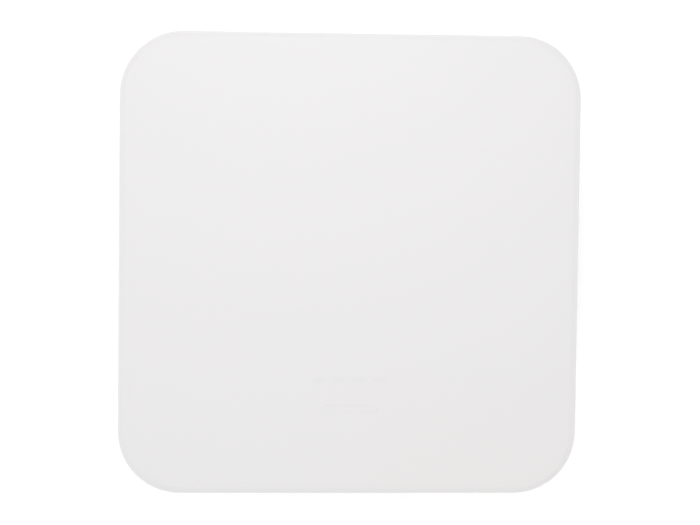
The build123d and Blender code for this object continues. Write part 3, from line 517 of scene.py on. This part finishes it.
# ---- mesh helpers
def put(name, data):
    """A new object in the scene."""
    made = bpy.data.objects.new(name, data)
    bpy.context.scene.collection.objects.link(made)
    return made


def new_piece(name, mesh, slot, body):
    """Puts a finished mesh in the scene, with its finish and the body it rides on."""
    mesh.name = name
    piece = put(name, mesh)
    mesh.materials.clear()
    mesh.materials.append(bpy.data.materials[finish_name(slot)])
    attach(piece, body)
    return piece


def stand_in(name, mesh, node):
    """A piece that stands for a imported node, with the node's own finish and body."""
    slot = next(part["material_slot"] for part in frame["record"]["subparts"] if part["node"] == node)
    piece = new_piece(name, mesh, slot, frame["nodes"][node]["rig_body"])
    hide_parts(node)


def skin(rings):
    """A closed mesh through rings of equally many points, each ring joined to the next."""
    build = bmesh.new()
    rows = [[build.verts.new(point) for point in ring] for ring in rings]
    count = len(rows[0])
    for lower, upper in zip(rows, rows[1:]):
        for i in range(count):
            j = (i + 1) % count
            build.faces.new((lower[i], lower[j], upper[j], upper[i]))
    close_ring(build, rows[0], True)
    close_ring(build, rows[-1], False)
    return build


def circle(radius, level, steps, x=0.0, y=0.0):
    """A ring of points about an upright axis."""
    turns = [2 * pi * i / steps for i in range(steps)]
    return [Vector((x + radius * cos(turn), y + radius * sin(turn), level)) for turn in turns]


def close_ring(build, row, flip):
    """A fan from a ring's middle to its points."""
    middle = build.verts.new(sum((vert.co for vert in row), Vector()) / len(row))
    for first, second in zip(row, [*row[1:], row[0]]):
        build.faces.new((second, first, middle) if flip else (first, second, middle))


def crease(build, sharpest=30.0):
    """Smooth faces, with edges over an angle left sharp."""
    build.normal_update()
    for face in build.faces:
        face.smooth = True
    for edge in build.edges:
        turn = edge.calc_face_angle(0.0)
        edge.smooth = turn < radians(sharpest)


def as_mesh(build, name):
    """The finished mesh of a bmesh, which is freed."""
    mesh = bpy.data.meshes.new(name)
    build.to_mesh(mesh)
    build.free()
    return mesh


def finished_mesh(body):
    """An object's mesh with its modifiers applied. The object itself is taken away."""
    depsgraph = bpy.context.evaluated_depsgraph_get()
    mesh = bpy.data.meshes.new_from_object(body.evaluated_get(depsgraph))
    bpy.data.objects.remove(body)
    return mesh


def carve(mesh, cutters, operation="DIFFERENCE"):
    """The mesh after exact booleans with other meshes."""
    body = put("carving", mesh)
    tools = [put("cutter", cutter) for cutter in cutters]
    for tool in tools:
        step = body.modifiers.new("cut", "BOOLEAN")
        step.operation = operation
        step.solver = "EXACT"
        step.object = tool
    result = finished_mesh(body)
    for tool in tools:
        bpy.data.objects.remove(tool)
    return result


def joined(meshes_and_moves, name):
    """One mesh of several, each moved by its matrix."""
    build = bmesh.new()
    for mesh, move in meshes_and_moves:
        first = len(build.verts)
        build.from_mesh(mesh)
        build.verts.ensure_lookup_table()
        bmesh.ops.transform(build, matrix=move, verts=build.verts[first:])
    return as_mesh(build, name)


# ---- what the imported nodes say
def welded(node):
    """A node's own shape with its seams closed."""
    build = bmesh.new()
    build.from_mesh(frame["nodes"][node].data)
    bmesh.ops.remove_doubles(build, verts=build.verts, dist=WELD)
    return build


def solid_boxes(node):
    """The lowest and highest corners of each separate solid of a node."""
    build = welded(node)
    waiting = set(build.verts)
    boxes = []
    for start in build.verts:
        if start not in waiting:
            continue
        waiting.remove(start)
        solid = [start]
        for vert in solid:  # the list grows as neighbours are found
            for edge in vert.link_edges:
                other = edge.other_vert(vert)
                if other in waiting:
                    waiting.remove(other)
                    solid.append(other)
        low = Vector(min(vert.co[axis] for vert in solid) for axis in range(3))
        high = Vector(max(vert.co[axis] for vert in solid) for axis in range(3))
        boxes.append((low, high))
    build.free()
    return boxes


def eased(node, radius):
    """A piece with a node's own shape whose sharp edges are truly rounded."""
    build = welded(node)
    whole = {"verts": build.verts, "edges": build.edges, "use_dissolve_boundaries": False}
    bmesh.ops.dissolve_limit(build, angle_limit=FLAT_WITHIN, **whole)
    for face in build.faces:
        face.smooth = True
    body = put("easing", as_mesh(build, node))
    step = body.modifiers.new("ease", "BEVEL")
    step.width = radius
    step.segments = EDGE_SEGMENTS
    step.limit_method = "ANGLE"
    step.angle_limit = SHARP_OVER
    step.use_clamp_overlap = False
    level = body.modifiers.new("level", "WEIGHTED_NORMAL")
    level.weight = FLAT_FACE_WEIGHT
    level.keep_sharp = True
    stand_in(node + "_eased", finished_mesh(body), node)


def ease_all(radius, *nodes):
    """Eased pieces for nodes of one kind."""
    for node in nodes:
        eased(node, radius)


# ---- screws
def threaded_rings(shape, run):
    """Rings down a threaded shank of a length, from the seat to the tip."""
    rings = []
    rows = max(THREAD_ROWS + 1, round(run / shape.pitch * THREAD_ROWS))
    taper_run, tip_share = 1.5 * shape.pitch, 0.45
    for row in range(rows + 1):
        depth = run * row / rows
        grip = min(1.0, max(0.0, (depth - shape.plain_length) / shape.pitch))
        taper = min(1.0, tip_share + (1 - tip_share) * (run - depth) / taper_run)
        ring = []
        for step in range(SCREW_STEPS):
            turn = 2 * pi * step / SCREW_STEPS
            phase = (depth / shape.pitch + step / SCREW_STEPS) % 1.0
            crest = 1 - abs(2 * phase - 1)
            radius = taper * (shape.shank_radius - shape.thread_depth * grip * (1 - crest))
            ring.append(Vector((radius * cos(turn), radius * sin(turn), -depth)))
        rings.append(ring)
    tip_radius = 0.3 * (shape.shank_radius - shape.thread_depth)
    rings.append(circle(tip_radius, -run, SCREW_STEPS))
    return rings


def screw_mesh(shape, head_radius, run):
    """A pan head screw with its seat at the origin: domed head, cross recess and rolled thread."""
    top = shape.head_height
    flank, flat, dome_steps = 0.35, 0.62, 5
    profile = [(shape.shank_radius, 0.0), (head_radius * 0.97, 0.0)]
    profile += [(head_radius, 0.08 * top), (head_radius, flank * top)]
    for step in range(1, dome_steps + 1):
        turn = pi / 2 * step / dome_steps
        radius = head_radius * (flat + (1 - flat) * cos(turn))
        profile.append((radius, top * (flank + (1 - flank) * sin(turn))))
    profile.append((head_radius * 0.3, top))
    head = [circle(radius, level, SCREW_STEPS) for radius, level in profile]
    threads = threaded_rings(shape, run)
    build = skin(threads[:0:-1] + head)
    crease(build, 50.0)
    return carve(as_mesh(build, "screw"), [cross_cutter(shape, top)])


def cross_cutter(shape, top):
    """A cross that narrows downwards, to sink a driver recess."""
    rings = []
    foot_share, mouth_share, above = 0.45, 1.1, 0.2 * MM
    for level, share in ((top - shape.recess_depth, foot_share), (top + above, mouth_share)):
        far, near = shape.recess_half * share, shape.recess_arm * (0.6 + 0.4 * share)
        corner = [(far, -near), (far, near), (near, near)]
        ring = []
        for quarter in range(4):
            turn = Matrix.Rotation(quarter * pi / 2, 3, "Z")
            ring += [turn @ Vector((x, y, level)) for x, y in corner]
        rings.append(ring)
    return as_mesh(skin(rings), "cross")


def screw_set(node, shape, head_up):
    """Every screw of a node, each turned its own way."""
    moves = []
    mesh = None
    for index, (low, high) in enumerate(solid_boxes(node)):
        middle = (low + high) / 2
        if mesh is None:
            run = high.z - low.z - shape.head_height
            mesh = screw_mesh(shape, (high.x - low.x) / 2, run)
        seat = high.z - shape.head_height if head_up else low.z + shape.head_height
        flip = Matrix.Identity(4) if head_up else Matrix.Rotation(pi, 4, "X")
        turn = Matrix.Rotation(2.4 * index + 0.5, 4, "Z")
        moves.append((mesh, Matrix.Translation((middle.x, middle.y, seat)) @ turn @ flip))
    stand_in(node + "_threaded", joined(moves, node), node)


# ---- small parts of the board
PART_SIZES = ((1.0, 0.5, 0.35), (1.6, 0.8, 0.45), (2.0, 1.25, 0.55))
END_SHARE = 0.2  # how much of a part's length each of its tinned ends takes
PART_ROOM = 0.8 * MM  # height over the board that the small parts need
PART_EDGE = 0.05 * MM
GRID_STEP = 1.5  # in millimetres, between the places where a part may stand
TRIES_FOR_EACH = 60
NEAR_CELLS = range(-2, 3)  # millimetres round a part that no lead may cross
HOLE_DEPTH = 0.1 * MM
OUTER_SHELLS = ("front_cover", "rear_housing", "bracket_plate")


def soft_block(size, low_share, high_share):
    """A slice of a block along X that stands on Z = 0, between two shares of its length, edges rounded."""
    length_x, length_y, height = (value * MM for value in size)
    build = bmesh.new()
    bmesh.ops.create_cube(build, size=1.0)
    for vert in build.verts:
        share = high_share if vert.co.x > 0 else low_share
        vert.co = Vector((share * length_x, vert.co.y * length_y, (vert.co.z + 0.5) * height))
    bmesh.ops.bevel(build, geom=build.edges[:], offset=PART_EDGE, segments=1, affect="EDGES", profile=0.5)
    crease(build)
    return as_mesh(build, "block")


def lead_points(node, ceiling):
    """Points a millimetre apart or less along a lead, where it runs below a level."""
    mesh = frame["nodes"][node].data
    for edge in mesh.edges:
        first, second = (mesh.vertices[i].co for i in edge.vertices)
        pieces = max(1, int((second - first).length / MM))
        for i in range(pieces + 1):
            point = first.lerp(second, i / pieces)
            if point.z < ceiling:
                yield point


def taken_spots(floor, ceiling):
    """What stands between two levels over the board: boxes of solids, and millimetre cells with leads."""
    boxes, cells = [], set()
    for part in frame["record"]["subparts"]:
        node = part["node"]
        low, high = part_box(node)
        if node == "main_board" or low.z > ceiling or high.z < floor:
            continue
        if node.startswith("coax_") and node != "coax_plugs":
            cells |= {(round(point.x / MM), round(point.y / MM)) for point in lead_points(node, ceiling)}
        elif node not in OUTER_SHELLS:
            boxes += [box for box in solid_boxes(node) if box[0].z < ceiling and box[1].z > floor]
    return boxes, cells


def on_grid(value):
    """A coordinate moved to the grid of places."""
    return round(value / (GRID_STEP * MM)) * GRID_STEP * MM


def place_small_parts(settings):
    """Random but orderly places for the small parts, clear of everything on the board."""
    low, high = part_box("main_board")
    boxes, cells = taken_spots(high.z, high.z + PART_ROOM)
    mesh = frame["nodes"]["main_board"].data
    faces = [face.vertices for face in mesh.polygons]
    board = BVHTree.FromPolygons([vert.co for vert in mesh.vertices], faces)
    dice = random.Random(settings.seed)
    border, gap = settings.border, settings.margin
    placed = []
    for _ in range(TRIES_FOR_EACH * settings.count):
        if len(placed) == settings.count:
            break
        size = dice.choice(PART_SIZES)
        turned = dice.random() < 0.5
        reach_x, reach_y = (share / 2 * MM for share in (size[1::-1] if turned else size[:2]))
        x = on_grid(dice.uniform(low.x + border, high.x - border))
        y = on_grid(dice.uniform(low.y + border, high.y - border))
        left, right = x - reach_x - gap, x + reach_x + gap
        near, far = y - reach_y - gap, y + reach_y + gap
        if any(right > a.x and left < b.x and far > a.y and near < b.y for a, b in boxes):
            continue
        column, row = round(x / MM), round(y / MM)
        if any((column + i, row + j) in cells for i in NEAR_CELLS for j in NEAR_CELLS):
            continue
        corners = [Vector((i, j, high.z + MM)) for i in (left, right) for j in (near, far)]
        hits = [board.ray_cast(corner, Vector((0, 0, -1)))[0] for corner in corners]
        if any(hit is None or hit.z < high.z - HOLE_DEPTH for hit in hits):
            continue
        boxes.append((Vector((x - reach_x, y - reach_y, 0)), Vector((x + reach_x, y + reach_y, 0))))
        turn = Matrix.Rotation(pi / 2 if turned else 0.0, 4, "Z")
        placed.append((size, Matrix.Translation((x, y, high.z)) @ turn))
    return placed


# ---- cover
class CoverSurface:
    """The cover's outside as formulas, grown inwards by an offset for its inside."""

    corner_steps = 14
    side_steps = 26
    edge_steps = 9
    face_rings = 26
    upright_rings = 4
    settling_steps = 4
    least_edge = 0.6 * MM
    below_edge = 0.4 * MM

    def __init__(self, shape, offset):
        low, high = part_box("front_cover")
        self.half_x = (high.x - low.x) / 2 - offset
        self.half_y = (high.y - low.y) / 2 - offset
        self.bottom = low.z
        self.apex = high.z - offset
        self.corner = shape.corner_radius - offset
        self.lean = shape.draft
        self.edge = max(shape.edge_radius - offset, self.least_edge)
        half_side = self.half_x + offset
        self.crown = half_side**2 / (2 * shape.crown_rise) + shape.crown_rise / 2 - offset
        self.outline = self.make_outline()

    def make_outline(self):
        """Points and outward directions round the skirt, closer together at the corners."""
        points = []
        straight_x, straight_y = self.half_x - self.corner, self.half_y - self.corner
        for quarter in range(4):
            start = quarter * pi / 2
            centre = Vector((straight_x * (1, -1, -1, 1)[quarter], straight_y * (1, 1, -1, -1)[quarter], 0))
            for step in range(self.corner_steps + 1):
                turn = start + pi / 2 * step / self.corner_steps
                out = Vector((cos(turn), sin(turn), 0))
                points.append((centre + self.corner * out, out))
            out = Vector((cos(start + pi / 2), sin(start + pi / 2), 0))
            along = Vector((-out.y, out.x, 0))
            run = 2 * (straight_x if quarter % 2 == 0 else straight_y)
            for step in range(1, self.side_steps):
                points.append((centre + self.corner * out + along * run * step / self.side_steps, out))
        return points

    def face_height(self, x, y):
        """Height of the crowned face."""
        return self.apex - self.crown + sqrt(self.crown**2 - x * x - y * y)

    def side_ring(self, height):
        """The ring round the drafted sides at a height."""
        inset = (height - self.bottom) * tan(self.lean)
        return [point - inset * out + Vector((0, 0, height)) for point, out in self.outline]

    def edge_rings(self):
        """The rings that roll from the sides over to the face."""
        arcs = []
        for point, out in self.outline:
            height = self.apex - self.edge
            for _ in range(self.settling_steps):
                inset = (height - self.bottom) * tan(self.lean) + self.edge / cos(self.lean)
                x, y = (point - inset * out).to_2d()
                height = self.apex - self.crown + sqrt((self.crown - self.edge) ** 2 - x * x - y * y)
            centre = point - inset * out + Vector((0, 0, height))
            slope = atan2(self.crown, Vector((x, y)).dot(out.to_2d()))
            arc = []
            for step in range(self.edge_steps + 1):
                turn = self.lean + (slope - self.lean) * step / self.edge_steps
                arc.append(centre + self.edge * (cos(turn) * out + sin(turn) * Vector((0, 0, 1))))
            arcs.append(arc)
        return [list(ring) for ring in zip(*arcs)]

    def face_rings_from(self, border):
        """Rings over the face, from its border to near its middle."""
        rings = []
        for step in range(1, self.face_rings):
            share = 1 - step / self.face_rings
            ring = []
            for point in border:
                x, y = point.x * share, point.y * share
                ring.append(Vector((x, y, self.face_height(x, y))))
            rings.append(ring)
        return rings

    def rings(self, start):
        """All rings from a height on the sides up to the middle of the face."""
        edge = self.edge_rings()
        top = min(point.z for point in edge[0])
        rise = top - self.below_edge - start
        steps = self.upright_rings
        sides = [self.side_ring(start + rise * step / steps) for step in range(steps + 1)]
        return sides + edge + self.face_rings_from(edge[-1])


BAR_LIP = 0.12 * MM  # how far the plain bar's edge at its foot is broken


def pill(x, y, width, height, bottom, top, steps, lip=0.0):
    """A bar with round ends that stands along Z, drawn in by lip at its foot."""
    half = (width - height) / 2
    turns = [(side, pi * step / steps - side * pi / 2) for side in (1, -1) for step in range(steps + 1)]
    outline = [(x + side * half, Vector((cos(turn), sin(turn)))) for side, turn in turns]
    rings = []
    for level, grow in ((bottom, -lip), (bottom + lip, 0.0), (top, 0.0)):
        radius = height / 2 + grow
        ends = [(middle + radius * out.x, y + radius * out.y) for middle, out in outline]
        rings.append([Vector((*end, level)) for end in ends])
    return as_mesh(skin(rings if lip else rings[1:]), "pill")


def post(middle, radius, bottom, top):
    """An upright round post between two levels."""
    rings = [circle(radius, level, POST_STEPS, middle.x, middle.y) for level in (bottom, top)]
    return as_mesh(skin(rings), "post")


def rolled_rim(outer, rim, steps=3):
    """Rings that roll from the outside's lowest ring in under the skirt."""
    rings = []
    for step in range(1, steps + 1):
        turn = pi / 2 * step / steps
        inset, level = rim * (1 - cos(turn)), outer.bottom + rim - rim * sin(turn)
        rings.append([point - inset * out + Vector((0, 0, level)) for point, out in outer.outline])
    return rings


def cover_mesh(shape):
    """The cover's shell: its two skins, the rolled rim between them, screw bosses, windows and plain bar."""
    outer = CoverSurface(shape, 0.0)
    inner = CoverSurface(shape, shape.wall)
    start = outer.bottom + shape.rim_radius
    rim = rolled_rim(outer, shape.rim_radius)
    build = skin(inner.rings(start)[::-1] + rim[::-1] + outer.rings(start))
    crease(build)
    shell = as_mesh(build, "cover_shell")

    bosses, cutters = [], []
    for low, high in solid_boxes("cover_screws"):
        middle = (low + high) / 2
        wall_middle = outer.face_height(middle.x, middle.y) - shape.wall / 2
        bosses.append(post(middle, shape.boss_radius, shape.boss_bottom, wall_middle))
        cutters.append(post(middle, shape.bore_radius, shape.boss_bottom - MM, high.z + shape.bore_well))
    shell = carve(shell, bosses, "UNION")

    above, within = outer.apex + shape.wall, outer.apex - 3 * shape.wall
    for i in range(shape.window_count):
        x = (i - (shape.window_count - 1) / 2) * shape.window_pitch
        window = (x, shape.window_y, shape.window_width, shape.window_height)
        cutters.append(pill(*window, within, above, steps=10))
    bar = (0, shape.bar_y, shape.bar_width, shape.bar_height)
    bar_floor = outer.face_height(0, shape.bar_y) - shape.bar_depth
    cutters.append(pill(*bar, bar_floor, above, steps=14, lip=BAR_LIP))
    carved = carve(shell, cutters)
    build = bmesh.new()
    build.from_mesh(carved)
    crease(build)
    build.to_mesh(carved)
    build.free()
    return carved


# ---- operators
FOUR = range(1, 5)  # the numbers of nodes that come in fours


class ACCESSPOINT_OT_finishes(bpy.types.Operator):
    """Makes every finish and puts it on the nodes that keep their own shape"""

    bl_idname = "accesspoint.finishes"
    bl_label = "Apply finishes"

    def execute(self, context):
        make_finishes()
        for part in frame["record"]["subparts"]:
            for place in frame["nodes"][part["node"]].material_slots:
                place.material = bpy.data.materials[finish_name(part["material_slot"])]
        return {"FINISHED"}


class ACCESSPOINT_OT_cover(bpy.types.Operator):
    """Moulds the cover as one smooth shell"""

    bl_idname = "accesspoint.cover"
    bl_label = "Mould the cover"

    def execute(self, context):
        stand_in("cover_shell", cover_mesh(context.scene.cover_shape), "front_cover")
        return {"FINISHED"}


class ACCESSPOINT_OT_bracket(bpy.types.Operator):
    """Finishes the stamped ceiling bracket and the studs that hang in it"""

    bl_idname = "accesspoint.bracket"
    bl_label = "Finish the bracket"

    def execute(self, context):
        ease_all(context.scene.edge_radii.sheet, "bracket_plate", "mounting_studs")
        return {"FINISHED"}


class ACCESSPOINT_OT_housing(bpy.types.Operator):
    """Finishes the cast housing, the cable bay's liner and the bare label"""

    bl_idname = "accesspoint.housing"
    bl_label = "Finish the housing"

    def execute(self, context):
        radii = context.scene.edge_radii
        eased("rear_housing", radii.casting)
        eased("bay_liner", radii.laminate)
        eased("blank_label", radii.foil)
        return {"FINISHED"}


class ACCESSPOINT_OT_ports(bpy.types.Operator):
    """Finishes the sockets in the cable bay, their contacts and lights, and the reset button"""

    bl_idname = "accesspoint.ports"
    bl_label = "Finish the ports"

    def execute(self, context):
        radii = context.scene.edge_radii
        ease_all(radii.moulding, "uplink_jack", "second_jack", "usb_port", "jack_lights")
        ease_all(radii.moulding, "reset_switch", "reset_button")
        eased("power_jack", radii.laminate)
        eased("jack_contacts", radii.foil)
        return {"FINISHED"}


class ACCESSPOINT_OT_board(bpy.types.Operator):
    """Finishes the main board and its larger parts"""

    bl_idname = "accesspoint.board"
    bl_label = "Finish the board"

    def execute(self, context):
        radii = context.scene.edge_radii
        eased("main_board", radii.laminate)
        ease_all(radii.chip, "processor_chip", "radio_chips", "memory_chips")
        ease_all(radii.chip, "thermal_pads", "board_standoffs")
        ease_all(2 * radii.moulding, "supply_transformer", "capacitors", "inductors")
        ease_all(radii.moulding / 2, "front_end_chips", "status_leds", "coax_plugs")
        ease_all(radii.chip, *(f"shield_can_{number}" for number in FOUR))
        return {"FINISHED"}


class ACCESSPOINT_OT_small_parts(bpy.types.Operator):
    """Solders small resistors and capacitors to the main board"""

    bl_idname = "accesspoint.small_parts"
    bl_label = "Add small board parts"

    def execute(self, context):
        placed = place_small_parts(context.scene.board_parts)
        inner = 0.5 - END_SHARE
        cores = {size: soft_block(size, -inner, inner) for size in PART_SIZES}
        lefts = {size: soft_block(size, -0.5, -inner) for size in PART_SIZES}
        rights = {size: soft_block(size, inner, 0.5) for size in PART_SIZES}
        cases = joined([(cores[size], move) for size, move in placed], "small_part_cases")
        pairs = [(ends[size], move) for size, move in placed for ends in (lefts, rights)]
        new_piece("small_part_cases", cases, "chip_black", UNIT_BODY)
        new_piece("small_part_ends", joined(pairs, "small_part_ends"), "shield_tin", UNIT_BODY)
        return {"FINISHED"}


class ACCESSPOINT_OT_radio(bpy.types.Operator):
    """Finishes the antenna plate, the antennas and the light pipe"""

    bl_idname = "accesspoint.radio"
    bl_label = "Finish the antennas"

    def execute(self, context):
        radii = context.scene.edge_radii
        eased("antenna_plate", radii.laminate)
        eased("antenna_bluetooth", radii.foil)
        for number in FOUR:
            ease_all(radii.foil, f"antenna_5ghz_{number}", f"antenna_24ghz_{number}")
        eased("light_pipe", radii.foil)
        return {"FINISHED"}


class ACCESSPOINT_OT_screws(bpy.types.Operator):
    """Turns the cover, board and antenna plate screws, with cross recesses and threads"""

    bl_idname = "accesspoint.screws"
    bl_label = "Turn the screws"

    def execute(self, context):
        shape = context.scene.screw_shape
        screw_set("cover_screws", shape, head_up=False)
        screw_set("board_screws", shape, head_up=True)
        screw_set("antenna_plate_screws", shape, head_up=True)
        return {"FINISHED"}


FLOOR_HALF = 3.0
FLOOR_LEVEL = -0.2 * MM
SENSOR_WIDTH = 36.0  # in millimetres, as the lens is
CLIP_END = 20.0

# each light's power among the studio's settings, the width of its disk and its place. All face the origin
LAMPS = {
    "key_light": ("key_power", 0.22, (-0.02, 0.27, 0.38)),
    "left_light": ("left_power", 0.5, (-0.8, 0.0, 0.37)),
    "lower_light": ("lower_power", 0.5, (0.0, -0.8, 0.37)),
    "left_edge_light": ("left_edge_power", 0.3, (-0.85, 0.0, 0.16)),
    "right_edge_light": ("right_edge_power", 0.3, (0.85, 0.0, 0.16)),
    "upper_edge_light": ("upper_edge_power", 0.3, (0.0, 0.85, 0.16)),
    "overhead_light": ("overhead_power", 1.6, (0.0, 0.0, 1.5)),
    "under_light": ("under_power", 0.5, (-0.4, 0.35, -0.6)),
}


class ACCESSPOINT_OT_stage(bpy.types.Operator):
    """Sets up the pale floor, the soft lights and the camera over the cover's face"""

    bl_idname = "accesspoint.stage"
    bl_label = "Set the stage"

    def execute(self, context):
        scene = context.scene
        studio = scene.studio_settings
        floor = self.floor(studio)
        self.lights(studio, floor)
        self.surroundings(scene, studio)
        self.camera(scene, studio)
        return {"FINISHED"}

    def floor(self, studio):
        """A wide pale floor just under the object."""
        build = bmesh.new()
        corners = ((-1, -1), (1, -1), (1, 1), (-1, 1))
        build.faces.new([build.verts.new((x * FLOOR_HALF, y * FLOOR_HALF, 0)) for x, y in corners])
        mesh = as_mesh(build, "floor")
        mesh.materials.append(pale_floor(studio.floor_glow))
        floor = put("floor", mesh)
        floor.location.z = FLOOR_LEVEL
        return floor

    def lights(self, studio, floor):
        """Soft lights above and round the object, and one below that shines past the floor."""
        for name, (power, width, place) in LAMPS.items():
            light = bpy.data.lights.new(name, "AREA")
            light.energy = getattr(studio, power)
            light.shape = "DISK"
            light.size = width
            lamp = put(name, light)
            lamp.location = place
            lamp.visible_camera = False
            lamp.rotation_euler = (-Vector(place)).to_track_quat("-Z", "Y").to_euler()
        passed = bpy.data.collections.new("passed_by_under_light")
        passed.objects.link(floor)
        bpy.data.objects["under_light"].light_linking.blocker_collection = passed
        passed.collection_objects[0].light_linking.link_state = "EXCLUDE"

    def surroundings(self, scene, studio):
        """An even white room."""
        world = bpy.data.worlds.new("surroundings")
        world.use_nodes = True
        background = world.node_tree.nodes["Background"]
        background.inputs["Color"].default_value = (1.0, 1.0, 1.0, 1.0)
        background.inputs["Strength"].default_value = studio.world_strength
        scene.world = world
        scene.view_settings.view_transform = "Standard"

    def camera(self, scene, studio):
        """A long lens nearly straight above the face, with the cover taking its share of the picture."""
        low, high = Vector(cad_bounds[0]), Vector(cad_bounds[1])
        lens = bpy.data.cameras.new("camera")
        lens.sensor_width = SENSOR_WIDTH
        lens.lens = lens.sensor_width * studio.outline_share * studio.distance / (high.x - low.x)
        lens.clip_end = CLIP_END
        side, upper = sin(studio.side_angle), sin(studio.upper_angle)
        back = Vector((side, upper, sqrt(1 - side * side - upper * upper)))
        right = Vector((0, 1, 0)).cross(back).normalized()
        axes = Matrix((right, back.cross(right), back)).transposed()
        middle = (low + high) / 2
        aim = Vector((middle.x + studio.aim_x, middle.y + studio.aim_y, high.z))
        camera = put("camera", lens)
        turned = axes.to_4x4() @ Matrix.Rotation(studio.roll, 4, "Z")
        camera.matrix_world = Matrix.Translation(aim + studio.distance * back) @ turned
        scene.camera = camera


class ACCESSPOINT_PT_panel(bpy.types.Panel):
    """Lists what dresses the access point"""

    bl_label = "Access point"
    bl_idname = "ACCESSPOINT_PT_panel"
    bl_space_type = "VIEW_3D"
    bl_region_type = "UI"
    bl_category = "Access point"

    def draw(self, context):
        layout = self.layout
        for operator in OPERATORS:
            layout.operator(operator.bl_idname)
        for key in GROUPS:
            group = getattr(context.scene, key)
            box = layout.box()
            for name in group.__annotations__:
                box.prop(group, name)


OPERATORS = (
    ACCESSPOINT_OT_finishes,
    ACCESSPOINT_OT_cover,
    ACCESSPOINT_OT_bracket,
    ACCESSPOINT_OT_housing,
    ACCESSPOINT_OT_ports,
    ACCESSPOINT_OT_board,
    ACCESSPOINT_OT_small_parts,
    ACCESSPOINT_OT_radio,
    ACCESSPOINT_OT_screws,
    ACCESSPOINT_OT_stage,
)
GROUPS = {
    "cover_shape": CoverShape,
    "edge_radii": EdgeRadii,
    "screw_shape": ScrewShape,
    "board_parts": BoardParts,
    "finish_colours": FinishColours,
    "studio_settings": StudioSettings,
}
CLASSES = (*GROUPS.values(), *OPERATORS, ACCESSPOINT_PT_panel)


def register():
    """Makes the classes known and gives the scene its groups of settings."""
    for item in CLASSES:
        bpy.utils.register_class(item)
    for name, group in GROUPS.items():
        setattr(bpy.types.Scene, name, PointerProperty(type=group))


def unregister():
    """Takes back what register did."""
    for name in GROUPS:
        delattr(bpy.types.Scene, name)
    for item in reversed(CLASSES):
        bpy.utils.unregister_class(item)


def main():
    """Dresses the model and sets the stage."""
    register()
    for operator in OPERATORS:
        group, name = operator.bl_idname.split(".")
        getattr(getattr(bpy.ops, group), name)()


if __name__ == "__main__":
    main()
